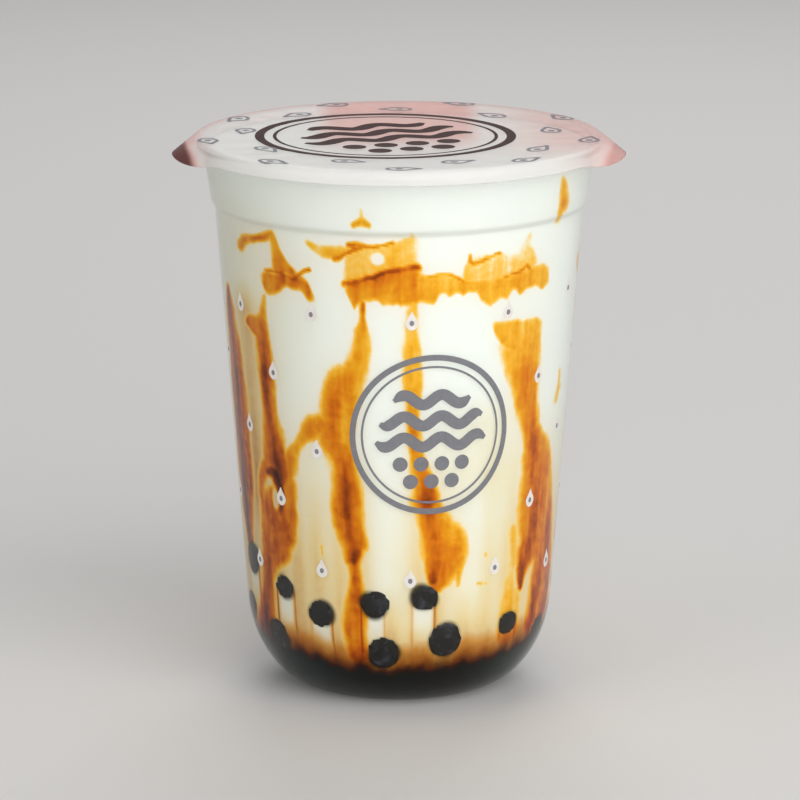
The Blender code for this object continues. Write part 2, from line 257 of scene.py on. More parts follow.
# That edge reaches to both sides by this, with a share of the half width, up to a limit
STREAK_SOFT_MM = 0.22
STREAK_SOFT_SHARE = 0.42
STREAK_SOFT_LIMIT_MM = 1.5
STREAK_CORE = 0.42          # share of the depth that comes in towards the middle line
HALO = 0.12                 # depth of the faint stain beside a streak, and its reach
HALO_MM = 0.9
HALO_WIDTH_MM = 1.5         # narrower streaks have less of it
FOLD_SOFT_MM = 0.85         # reach of a fold's edge to both sides

# Syrup on the back half, in degrees and mm: how far a streak is shifted, how high it
# starts and where it ends, its half width and sway, and the points of a branch, each as
# angle and height from its root and half width; for a fold the level of its crease
BACK_STREAK_SEED = 21
BACK_STREAK_COUNT = 8
BACK_STREAK_STEPS = 11
BACK_STREAK_ANGLES = (96, 262)
BACK_STREAK_SHIFTS = (-9, 9)
BACK_STREAK_TOPS = (82, 93)
BACK_STREAK_ENDS = (12, 14, 30, 42)
BACK_STREAK_WIDTHS = (1.9, 3.8)
BACK_STREAK_SWAYS = (2, 6)
BRANCH_STEP = 5
BRANCH = ((7, 4, 1.3), (11, 11, 1.8))
BACK_FOLD_SEED = 12
BACK_FOLD_ANGLES = ((78, 112), (122, 176), (186, 214), (226, 276))
BACK_FOLD_LEVELS = (96.5, 99.5)

# Folds of syrup between the milk's layers.  Each has its depth of colour at the
# upper and the lower side, how far its lower side frays in mm, and columns of
# angle in degrees, upper height and lower height in mm.
FOLDS = {
    "wedge": (0.52, 0.60, 0.0, (
        (-44.1, 108, 99.7), (-42.3, 109.3, 99.6), (-41.2, 107.4, 99.5), (-39.6, 104.9, 99.4),
        (-37, 102.6, 99.3), (-33.5, 100.5, 99.3),
    )),
    "wedge_low": (0.64, 0.54, 0.4, (
        (-49.4, 98.4, 97), (-47.3, 99.2, 94.9), (-45.5, 99.4, 93.9), (-43.6, 99.3, 94.1),
        (-41.8, 99.3, 95.2), (-40, 99.3, 96.2), (-37.6, 99.4, 96.7), (-34.5, 99.7, 96.5),
        (-31.8, 99.8, 96), (-29.6, 98.4, 94.4), (-27.6, 95.8, 94.2),
    )),
    "tail": (0.28, 0.44, 0.0, (
        (-30.8, 107.8, 107.3), (-27.4, 107.5, 105.6), (-24.7, 107.1, 104.4), (-22.4, 107, 103.9),
        (-20.4, 107.1, 103.9), (-18.1, 107.5, 104.9), (-16.2, 107.6, 105.8), (-13.1, 107.4, 106.4),
        (-9.4, 107.1, 106.6),
    )),
    "pool": (0.27, 0.36, 0.0, (
        (-18.2, 103.4, 99), (-16.7, 105, 99), (-14.5, 106.2, 99.4), (-11.9, 106.7, 100.1),
        (-8.9, 106.8, 100.6), (-5.8, 107.3, 101.4), (-2.1, 108.4, 102.1), (0.9, 109.3, 102.6),
        (3.9, 110.6, 102.9), (6, 109.2, 103.4),
    )),
    "pool_low": (0.60, 0.46, 0.8, (
        (-17.8, 99, 98.4), (-15.9, 99.1, 95.3), (-14.4, 99.4, 94), (-12.1, 99.9, 94.1),
        (-9.6, 100.4, 94.7), (-6.5, 101.1, 95), (-2.8, 101.9, 94.6), (0.3, 102.3, 94.2),
        (3.3, 102.7, 94.4), (6.8, 101.6, 95.2),
    )),
    "band": (0.38, 0.44, 0.9, (
        (-4, 101, 95), (5.6, 101.4, 94.8), (11.1, 100.8, 95.2), (15.2, 100.7, 96),
        (17.1, 100.6, 96.8), (19.8, 99.8, 97.1), (22.4, 99.4, 96.5), (25.9, 99.4, 95),
        (28.8, 99.4, 93.6), (30.2, 99.5, 93.3), (33.1, 99.4, 94.3), (39, 99.6, 95.2),
        (45.3, 100.6, 95.5), (51.1, 100.6, 95.4), (55.5, 99.6, 96),
    )),
    "band_top": (0.20, 0.30, 0.0, (
        (19.6, 101.6, 99.4), (21, 103.3, 99), (23.6, 104.3, 98.9), (27.4, 104.7, 98.7),
        (32.8, 105, 98.5), (37.4, 104.2, 98.8), (40.5, 104.3, 99.1), (43.4, 105.6, 100),
        (45.5, 105, 100.2), (49.7, 101.4, 100),
    )),
    "left_head": (0.60, 0.66, 0.3, (
        (-61, 87.2, 86), (-57.6, 88.4, 84.8), (-53.5, 88.8, 83.6), (-50, 88.6, 83.6),
        (-47.5, 87.8, 84),
    )),
    "fourth_head": (0.36, 0.44, 0.3, (
        (30.3, 89.5, 88.8), (33.1, 89.4, 85.8), (38, 89.2, 82.5), (44.8, 88.8, 80.4),
        (51.2, 88.3, 80.1), (53.6, 87.6, 83),
    )),
}

# Pale places cleared of syrup colour, a spot in the pool and a painted highlight amid the knot of
# the left streak: angle in degrees, height, half width and half height in mm
CLEARINGS = ((-6.5, 104.6, 1.5, 1.5), (-49.2, 47.2, 1.1, 2.6))

# Radius of the wall in mm, on the whole, at the folds, at the clearings and at the pearls
WALL_RADIUS_MM = 37
FOLD_RADIUS_MM = 39
CLEARING_RADIUS_MM = 38
PEARL_WALL_RADIUS_MM = 35

# Level of the nearly black sediment: height in mm at the front and back, and
# how much higher it stands at the sides
SEDIMENT_FRONT_MM = 8.8
SEDIMENT_RISE_MM = 3.8
MURK_DEPTH_MM = 9.0         # how far above that level the milk is stained
REFLECTION_REACH = 32 * MM        # to each side, where the painted reflection on the deepest syrup has its full tint
# Threads of stain under the pearls: half width of a line and of its halo, how far from
# the pearl's middle it hangs, and its depth of colour in turn
THREAD_MM = 0.24
THREAD_HALO_MM = 0.8
THREAD_OFFSET_MM = 2.7
THREAD_DEPTHS = (0.20, 0.48, 0.48)

# Upright bands of whiter and of warmer milk: strength, angle and half width in degrees, and for the
# warm ones the heights in mm over which they come in from above and below; the first, broad warm
# band is painted shade over the left side
WHITE_BANDS = ((1.0, -4, 6), (0.9, 26, 9))
WARM_AND_SHADE_BANDS = ((0.16, -62, 30, (126, 98), (-1, 0)), (0.46, -59.5, 7, (98, 88), (36, 48)),
              (0.15, 32, 16, (76, 66), (44, 56)))

# Cast of the film: places in mm over which it comes in at the back half of the rim, in
# the middle and on the right
RIM_CAST_Y = (-30, 10)
MIDDLE_CAST_X = (20, 14)
MIDDLE_CAST_Y = (-18, 4)
RIGHT_CAST_X = (15, 42)
RIGHT_CAST_Y = (-34, -4)
RIGHT_TAB_CAST = 0.7        # of the left tab's, whose deeper cast is painted shade

# Printing, in degrees and mm: the cup's badge with a clear space round it, the
# staggered rows of drops on the cup, and the drops on the film
BADGE_ANGLE = 11
BADGE_HEIGHT = 65.0
BADGE_CLEAR_ANGLE = 33
BADGE_CLEAR_HEIGHTS = (42, 88)
FILM_BADGE_X = -3.0
FILM_BADGE_TURN = math.radians(20)
FILM_BADGE_SCALE = 1.6
CUP_DROP_HEIGHTS = (32, 47, 62, 77, 92)
CUP_DROPS_IN_ROW = 11
CUP_DROP_START = 4
CUP_DROP_STAGGER = 16
FILM_DROP_COUNT = 18
FILM_DROP_REACHES = (34.5, 42.5)
# Half width and half height of the drops, their dots' too, and the middle of each dot
CUP_DROP_SIZE = (1.5, 2.1)
CUP_DOT_SIZE, CUP_DOT_PLACE = (0.5, 0.6), (0, -0.5)
FILM_DROP_SIZE = (2.1, 3.6)
FILM_DOT_SIZE, FILM_DOT_PLACE = (0.8, 0.9), (0, -1.0)
FILM_DROP_LINE = 0.42       # half width of their outline
# Badge in mm at scale 1: radius and half width of the rings, height and half span of the
# waves, height and number of the rows of beads
BADGE_RINGS = ((17.5, 0.65), (15.4, 0.25))
BADGE_WAVES = ((8.0, 8.5), (3.2, 11.5), (-1.6, 12.3))
BADGE_BEADS = ((-6.6, 4), (-10.6, 3))
WAVE_LENGTH = 8.2
WAVE_SWING = 1.1
WAVE_HALF_WIDTH = 1.25
WAVE_TAPER = 1.6            # length over which its ends narrow
BEAD_SPACING = 4.6
BEAD_RADIUS = 1.65
# Cover of the inks, from 0 for none to 1
GREY_COVER = 0.85
WHITE_COVER = 0.92
BROWN_COVER = 0.95

# Angle in degrees from which an edge stays crisp in the smooth shading
CREASE = 40
DRINK_CREASE = 50

# Camera, from the ellipses of the film, shoulder and foot in the 800 px frame
IMAGE_SIZE = 800
SENSOR_WIDTH_MM = 36.0
SHIFT_PX = 1
FOCAL_PX = 4698.3
CAMERA_DISTANCE = 1.03
CAMERA_HEIGHT = 0.30608
CAMERA_PITCH = math.radians(13.2208)

# Stage in metres: half the floor's width, the even light's colour, where the lights aim,
# and their places and sizes
FLOOR_HALF = 3.0
SKY_COLOUR = (0.98, 0.99, 1.0, 1)
LIGHT_AIM = (0, 0, 0.06)
KEY_PLACE, KEY_SIZE = (0.55, -0.95, 0.80), 1.3
FILL_PLACE, FILL_SIZE = (-0.9, -0.6, 0.45), 0.8
BACK_PLACE, BACK_SIZE = (0.1, 0.9, 0.9), 0.7


def linear(hex_colour):
    """Linear RGB of an sRGB hex colour."""
    values = [int(hex_colour[i:i + 2], 16) / 255 for i in (1, 3, 5)]
    return tuple(v / 12.92 if v <= 0.04045 else ((v + 0.055) / 1.055) ** 2.4 for v in values)


def smoothstep(low, high, values):
    """Ease from 0 at low to 1 at high along t * t * (3 - 2 t)."""
    t = np.clip((values - low) / (high - low), 0, 1)
    return t * t * (3 - 2 * t)


def wrapped(angles):
    """Angles in degrees brought between -180 and 180."""
    return (angles + 180) % 360 - 180


def bell(angle, centre, half_width):
    """exp(-(t * t)) for t, the angle from the centre in half widths, all in degrees."""
    return np.exp(-(wrapped(angle - centre) / half_width) ** 2)


def along_wall(angle, start, radius_mm):
    """Arc length in mm round a wall from a start to an angle, both in degrees."""
    return radius_mm * np.radians(wrapped(angle - start))


def wall_radius(height, inset=0.0):
    """Radius of the tapering wall and rounded corner, inset inside the outer face.

    The line SHOULDER_RADIUS - TAPER * drop loses an elliptical turn-in below
    CORNER_HEIGHT; the floor under the curve rises by the inset.
    """
    height = np.asarray(height, float)
    line = SHOULDER_RADIUS - TAPER * (SHOULDER_Z - height) - inset
    floor = RECESS_HEIGHT + inset if inset else 0.0
    reach = SHOULDER_RADIUS - TAPER * (SHOULDER_Z - floor) - FOOT_RADIUS
    drop = np.clip((CORNER_HEIGHT - height) / (CORNER_HEIGHT - floor), 0, 1)
    return line - reach * (1 - np.sqrt(1 - drop * drop))


def cup_radius(height, inset=0.0):
    """wall_radius below the shoulder, and the flaring collar above it."""
    height = np.asarray(height, float)
    ease = smoothstep(SHOULDER_Z, COLLAR_FOOT_Z, height)
    below = wall_radius(np.minimum(height, SHOULDER_Z), inset)
    # The inner face of the collar runs up to the lip, the outer one to the rim's foot
    top = RIM_TOP_Z - (RIM_FILLET if inset else RIM_THICKNESS)
    flare = (COLLAR_TOP_RADIUS - COLLAR_FOOT_RADIUS) / (top - COLLAR_FOOT_Z)
    above = COLLAR_FOOT_RADIUS - inset + flare * np.clip(height - COLLAR_FOOT_Z, 0, None)
    return below * (1 - ease) + above * ease


def side_profile(top, bottom, inset, spacing):
    """(radius, height) points evenly down the inside of the cup between two heights."""
    heights = np.linspace(top, bottom, max(2, round((top - bottom) / spacing) + 1))
    return np.column_stack([cup_radius(heights, inset), heights])


def level_profile(start, end, height, count):
    """(radius, height) points between two radii, all at one height."""
    return np.column_stack([np.linspace(start, end, count + 2)[1:-1], np.full(count, height)])


def arc(centre, radius, start, end, count):
    """Points of a circular arc in a profile, its angles in degrees from +radius."""
    turn = np.radians(np.linspace(start, end, count))
    return np.column_stack([centre[0] + radius * np.cos(turn), centre[1] + radius * np.sin(turn)])


def corner_heights(inset, count):
    """Heights of the rounded corner, closer together where it curves most."""
    floor = RECESS_HEIGHT + inset if inset else 0.0
    turn = np.radians(np.linspace(0, 90, count))
    return CORNER_HEIGHT - (CORNER_HEIGHT - floor) * np.sin(turn)


def side_and_corner(top, inset):
    """Profile down one face of the cup from a height to where the foot starts."""
    corner = corner_heights(inset, CUP_CORNER_ROWS)[1:]
    side = side_profile(top, CORNER_HEIGHT, inset, CUP_ROW_SPACING)
    return np.vstack([side, np.column_stack([cup_radius(corner, inset), corner])])


def grid_faces(rows, columns, wrap=False):
    """Quads between neighbouring rows and columns, the last column joined to the first."""
    index = np.arange(rows * columns).reshape(rows, columns)
    after = np.roll(index, -1, axis=1)
    if not wrap:
        index, after = index[:, :-1], after[:, :-1]
    return np.stack([index[:-1], index[1:], after[1:], after[:-1]], axis=-1).reshape(-1, 4)


def pole_faces(rows, columns):
    """Triangles from the first and last row to the two poles that follow the grid's points."""
    around = np.arange(columns)
    after = np.roll(around, -1)
    first = np.full(columns, rows * columns)
    end = (rows - 1) * columns
    return np.concatenate([
        np.column_stack([first, around, after]),
        np.column_stack([first + 1, end + after, end + around]),
    ])


def mesh_object(name, points, quads, triangles=None, smooth=True):
    """Put point and face arrays into a new mesh object."""
    mesh = bpy.data.meshes.new(name)
    corners = [np.asarray(quads).ravel()]
    sizes = [np.full(len(quads), 4)]
    if triangles is not None:
        corners.append(np.asarray(triangles).ravel())
        sizes.append(np.full(len(triangles), 3))
    corners, sizes = np.concatenate(corners), np.concatenate(sizes)
    mesh.vertices.add(len(points))
    mesh.vertices.foreach_set("co", np.asarray(points, np.float32).ravel())
    mesh.loops.add(len(corners))
    mesh.loops.foreach_set("vertex_index", corners.astype(np.int32))
    mesh.polygons.add(len(sizes))
    mesh.polygons.foreach_set("loop_start", (np.cumsum(sizes) - sizes).astype(np.int32))
    mesh.update(calc_edges=True)
    mesh.validate()
    if smooth:
        mesh.shade_smooth()
    else:
        mesh.shade_flat()
    obj = bpy.data.objects.new(name, mesh)
    bpy.context.scene.collection.objects.link(obj)
    return obj


def lathe(name, profile, sides, crowding=0.0):
    """Turned piece: point = (radius cos a, radius sin a, height) over profile and angle a.

    The profile runs from a pole above to a pole below down the outer side, or
    round a wall from its inner pole to its outer one; the poles are single points.
    With crowding, a = t - crowding * sin t, which brings columns to the front.
    """
    profile = np.asarray(profile, float)
    body = profile[1:-1]
    turn = np.linspace(0, math.tau, sides, endpoint=False)
    turn = turn - crowding * np.sin(turn) - math.pi / 2
    radius, height = body[:, :1], body[:, 1:]
    rings = np.stack([
        radius * np.cos(turn), radius * np.sin(turn), np.repeat(height, sides, axis=1)
    ], axis=-1)
    points = np.concatenate([
        rings.reshape(-1, 3), [[0, 0, profile[0, 1]], [0, 0, profile[-1, 1]]]
    ])
    quads = grid_faces(len(body), sides, wrap=True)
    return mesh_object(name, points, quads, pole_faces(len(body), sides))


def mark_sharp(obj, degrees):
    """Keep edges sharper than an angle crisp in the smooth shading."""
    obj.data.set_sharp_from_angle(angle=math.radians(degrees))


def thicken(obj, name, thickness, offset):
    """Give a surface a thickness, all outside it at offset 1 and all inside at -1."""
    solidify = obj.modifiers.new(name, 'SOLIDIFY')
    solidify.thickness = thickness
    solidify.offset = offset


def store_field(mesh, name, values):
    """Store one number for each point of a mesh under a name that its material reads."""
    attribute = mesh.attributes.new(name, "FLOAT", "POINT")
    attribute.data.foreach_set("value", values.astype(np.float32))


def finish_piece(obj, material, slot, *nodes):
    """Give a piece its material, its place in the frame and the nodes it stands for."""
    obj.data.materials.append(material)
    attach(obj, BODY)
    if nodes:
        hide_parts(*nodes)


def add_node(tree, kind, settings=(), values=(), links=()):
    """Add a node with its own settings, socket values and links from other sockets."""
    node = tree.nodes.new(kind)
    for name, value in dict(settings).items():
        setattr(node, name, value)
    for name, value in dict(values).items():
        node.inputs[name].default_value = value
    for name, source in dict(links).items():
        tree.links.new(source, node.inputs[name])
    return node


def new_material(name):
    """Empty node material with its output node."""
    material = bpy.data.materials.new(name)
    material.use_nodes = True
    material.node_tree.nodes.clear()
    tree = material.node_tree
    return material, tree, add_node(tree, "ShaderNodeOutputMaterial")


def fill_ramp(node, stops):
    """Set a colour ramp's stops from (position, hex colour) pairs."""
    elements = node.color_ramp.elements
    while len(elements) > 1:
        elements.remove(elements[-1])
    for index, (position, colour) in enumerate(stops):
        element = elements[0] if index == 0 else elements.new(position)
        element.position = position
        element.color = (*linear(colour), 1.0)


def waver(angle, height, size_mm, seed):
    """Smooth unevenness from -1 to 1 that closes round the cup.

    A sum of sines of whole turns round the cup and of the height, with seeded
    phases, at about the given size in mm.
    """
    draw = random.Random(seed)
    turns_for_size = 2 * math.pi * WALL_RADIUS_MM / size_mm
    total = np.zeros(np.broadcast(angle, height).shape)
    for _ in range(5):
        turns = round(turns_for_size * draw.uniform(0.35, 1.2)) or 1
        rise = draw.uniform(-1, 1) * 2 * math.pi / (size_mm * 1.8)
        phase = draw.uniform(0, math.tau)
        total = total + np.sin(np.radians(angle) * turns + height * rise + phase)
    return total / 3


def streak_depth(angle, height, streak):
    """Depth of colour of one streak at each place, by distance from its line.

    For every stretch between two points the distance is taken on the unrolled
    wall.  Colour fades over the edge of the interpolated half width, and
    deepens from there to the middle line and from the first point to the last.
    """
    first, last, points = streak
    radius_mm = cup_radius(height * MM) / MM
    result = np.zeros(np.broadcast(angle, height).shape)
    count = len(points) - 1
    for index, ((a0, h0, w0), (a1, h1, w1)) in enumerate(zip(points, points[1:])):
        across = along_wall(angle, a0, radius_mm)
        up = height - h0
        run = along_wall(a1, a0, radius_mm)
        rise = h1 - h0
        share = np.clip((across * run + up * rise) / (run * run + rise * rise), 0, 1)
        half = SPREAD * (w0 + (w1 - w0) * share)
        gap = np.hypot(across - share * run, up - share * rise)
        soft = np.minimum(STREAK_SOFT_LIMIT_MM, STREAK_SOFT_MM + STREAK_SOFT_SHARE * half)
        cover = smoothstep(half + soft, half - soft, gap)
        core = np.clip(1 - gap / (half + soft), 0, 1)
        depth = first + (last - first) * (index + share) / count
        halo = HALO * np.exp(-np.maximum(gap - half, 0) / HALO_MM)
        halo = halo * min(1.0, half.max() / HALO_WIDTH_MM)
        deepened = depth * (1 - STREAK_CORE + STREAK_CORE * core ** 0.6)
        result = np.maximum.reduce([result, deepened * cover, halo])
    return result


def fold_depth(angle, height, fold):
    """Depth of colour of one fold: its columns joined up, colour graded down them."""
    upper, lower, fray, columns = fold
    angles, tops, bottoms = (np.array(values) for values in zip(*columns))
    middle = (angles[0] + angles[-1]) / 2
    angle = middle + wrapped(angle - middle)
    top = np.interp(angle, angles, tops)
    bottom = np.interp(angle, angles, bottoms)
    bottom = bottom + fray * (0.8 * waver(angle, 0.0, 4, 8) + 0.2 * waver(angle, 0.0, 1.8, 9))
    ends = FOLD_RADIUS_MM * np.radians(np.minimum(angle - angles[0], angles[-1] - angle))
    cover = (smoothstep(top + FOLD_SOFT_MM, top - FOLD_SOFT_MM, height)
             * smoothstep(bottom - FOLD_SOFT_MM, bottom + FOLD_SOFT_MM, height)
             * smoothstep(-0.6, 1.4, ends))
    share = np.clip((top - height) / np.maximum(top - bottom, 0.1), 0, 1)
    return cover * (upper + (lower - upper) * share)


def back_streaks():
    """Seeded streaks for the half of the wall that faces away, in the front's manner."""
    draw = random.Random(BACK_STREAK_SEED)
    first, last = BACK_STREAK_ANGLES
    streaks = []
    for index in range(BACK_STREAK_COUNT):
        angle = first + (last - first) * index / (BACK_STREAK_COUNT - 1)
        angle = angle + draw.uniform(*BACK_STREAK_SHIFTS)
        top, bottom = draw.uniform(*BACK_STREAK_TOPS), draw.choice(BACK_STREAK_ENDS)
        size, sway = draw.uniform(*BACK_STREAK_WIDTHS), draw.uniform(*BACK_STREAK_SWAYS)
        phase = draw.uniform(0, math.tau)
        points = []
        for step in range(BACK_STREAK_STEPS + 1):
            share = step / BACK_STREAK_STEPS
            turn = phase + share * 7
            narrowing = 0.45 if share in (0, 1) else 1
            width = size * (1 + 0.55 * math.sin(turn * 1.7)) * narrowing
            points.append((angle + sway * math.sin(turn), top + (bottom - top) * share, width))
        streaks.append((draw.uniform(0.40, 0.58), draw.uniform(0.6, 0.78), tuple(points)))
        if index % 3 == 0:
            root = points[BRANCH_STEP]
            limb = [(root[0] + a, root[1] + h, half_width) for a, h, half_width in BRANCH]
            streaks.append((0.5, 0.62, (root, *limb)))
    return streaks


def back_folds():
    """Seeded folds for that half, each an uneven band, and the dark creases along them."""
    draw = random.Random(BACK_FOLD_SEED)
    folds, creases = [], []
    for first, last in BACK_FOLD_ANGLES:
        level = draw.uniform(*BACK_FOLD_LEVELS)
        count = round((last - first) / 5)
        columns, line = [], []
        for index in range(count + 1):
            angle = first + (last - first) * index / count
            level = level + draw.uniform(-0.7, 0.7)
            ends = 0.25 if index in (0, count) else 1
            columns.append((angle, level + ends * draw.uniform(0.8, 5.5),
                            level - ends * draw.uniform(1.2, 4.2)))
            line.append((angle, level + draw.uniform(-0.3, 0.3), 0.45))
        folds.append((draw.uniform(0.22, 0.36), draw.uniform(0.42, 0.54), 0.9, tuple(columns)))
        creases.append((0.62, 0.72, tuple(line[1:-1])))
    return folds, creases


def pearl_places():
    """(angle in degrees, height in mm) of each pearl on the wall, as in the heap's solid."""
    places = list(FRONT_PEARLS)
    first, last = BACK_PEARL_ANGLES
    draw = random.Random(BACK_PEARL_SEED)
    for index in range(BACK_PEARL_COUNT):
        angle = first + (last - first) * index / (BACK_PEARL_COUNT - 1)
        height = BACK_PEARL_HEIGHTS[index % 2]
        places.append((angle + draw.uniform(*BACK_PEARL_SHIFTS),
                       height + draw.uniform(*BACK_PEARL_LIFTS)))
    return places


def syrup_field(angle, height):
    """Depth of syrup colour from 0 to 1 all over the wall, angles in degrees, heights in mm.

    The strongest streak or fold counts at each place, after the lines are made
    to waver.
    """
    near_angle = angle + 0.5 * waver(angle, height, 8, 1) + 0.3 * waver(angle, height, 3, 2)
    near_height = height + 0.25 * waver(angle, height, 6, 3)
    depth = np.zeros(np.broadcast(angle, height).shape)
    folds, creases = back_folds()
    for streak in [*STREAKS.values(), *back_streaks(), *creases]:
        depth = np.maximum(depth, streak_depth(near_angle, near_height, streak))
    for fold in [*FOLDS.values(), *folds]:
        depth = np.maximum(depth, fold_depth(near_angle, near_height, fold))
    depth = depth * (1 + 0.10 * waver(angle, height * 0.4, 5, 4))
    # Clear the syrup from a pale spot in the pool and from a painted highlight on the left
    for a, h, half_width, half_height in CLEARINGS:
        across = along_wall(angle, a, CLEARING_RADIUS_MM) / half_width
        up = (height - h) / half_height
        depth = depth * smoothstep(0.55, 1.25, np.hypot(across, up))
    return np.clip(depth, 0, 1)


def murk_field(angle, height):
    """How far the milk is stained by the syrup at the foot, from 0 to 1 for nearly black.

    The stain thins out upwards, and in threads that hang from the pearls' sides.
    """
    level = SEDIMENT_FRONT_MM + SEDIMENT_RISE_MM * np.sin(np.radians(angle)) ** 2
    level = level + 0.6 * waver(angle, 0.0, 14, 5) + 0.5 * waver(angle, 0.0, 4, 7)
    murk = np.clip(1 - (height - level + 0.5) / MURK_DEPTH_MM, 0, 1)
    for index, (a, h) in enumerate(pearl_places()):
        for side in (-1, 1):
            offset = side * (THREAD_OFFSET_MM + 0.2 * math.sin(index * 7 + side))
            line = a + math.degrees(offset / PEARL_WALL_RADIUS_MM)
            across = along_wall(angle, line, PEARL_WALL_RADIUS_MM)
            below = smoothstep(h + 0.5, h - 1.5, height)
            strength = THREAD_DEPTHS[(index + side) % 3]
            thread = np.exp(-(across / THREAD_MM) ** 2)
            thread = thread + 0.3 * np.exp(-(across / THREAD_HALO_MM) ** 2)
            murk = np.maximum(murk, strength * thread * below)
    return murk


def cream_field(angle, height):
    """Warmth of the milk from 0, white, to 1, tan: whiter on top, tea-stained lower down.

    Bands of whiter and of warmer milk lie over that, the broad one over the left side being painted
    shade, and a pale trail hangs under each pearl.
    """
    low = smoothstep(72, 26, height)
    columns = 0.5 + 0.5 * waver(angle, height * 0.08, 6, 6)
    bright = sum(strength * bell(angle, centre, width) for strength, centre, width in WHITE_BANDS)
    bright = np.clip(bright * smoothstep(18, 32, height), 0, 1)
    cream = 0.02 + low * (0.38 + 0.14 * columns) * (1 - 0.75 * bright)
    cream = cream + 0.15 * smoothstep(24, 13, height)
    # The first, broad band darkens the whole left side as painted shade
    for strength, centre, width, above, under in WARM_AND_SHADE_BANDS:
        reach = smoothstep(*above, height) * smoothstep(*under, height)
        cream = cream + strength * bell(angle, centre, width) * reach
    trail = np.zeros(np.broadcast(angle, height).shape)
    for a, h in pearl_places():
        across = np.abs(along_wall(angle, a, PEARL_WALL_RADIUS_MM))
        below = smoothstep(h, h - 3, height) * smoothstep(h - 12, h - 4, height)
        trail = np.maximum(trail, smoothstep(3.2, 1.8, across) * below)
    return np.clip(cream * (1 - 0.75 * trail), 0, 1)


def pearl_shade(angle, height):
    """How much of a dark pearl shows through the thin milk round its pressed spot."""
    shade = np.zeros(np.broadcast(angle, height).shape)
    for (a, h), size in zip(pearl_places(), SPOTS_MM):
        across = along_wall(angle, a, cup_radius(height * MM) / MM)
        turn = np.arctan2(height - h, across)
        spot = size * (1 + 0.08 * np.sin(2 * turn + a) + 0.05 * np.sin(3 * turn + h))
        shade = np.maximum(shade, 0.95 * smoothstep(0.8, -0.4, np.hypot(across, height - h) - spot))
    return shade


def paint_fields(obj):
    """Store the syrup, cream, murk and pearl fields on a drink's points."""
    mesh = obj.data
    points = np.zeros(len(mesh.vertices) * 3, np.float32)
    mesh.vertices.foreach_get("co", points)
    points = points.reshape(-1, 3).astype(float)
    angle = np.degrees(np.arctan2(points[:, 0], -points[:, 1]))
    height = points[:, 2] / MM
    radius = np.hypot(points[:, 0], points[:, 1])
    at_wall = smoothstep(0.90, 0.985, radius / cup_radius(points[:, 2], WALL))
    fields = {
        "syrup": syrup_field(angle, height) * at_wall,
        "cream": cream_field(angle, height),
        "murk": murk_field(angle, height),
        "pearl": pearl_shade(angle, height) * at_wall,
    }
    for name, values in fields.items():
        store_field(mesh, name, values)


def pour(name, profile, settings):
    """Turn a drink from its profile and paint it."""
    drink = lathe(name, profile, settings.sides, settings.crowding)
    mark_sharp(drink, DRINK_CREASE)
    paint_fields(drink)
    return drink


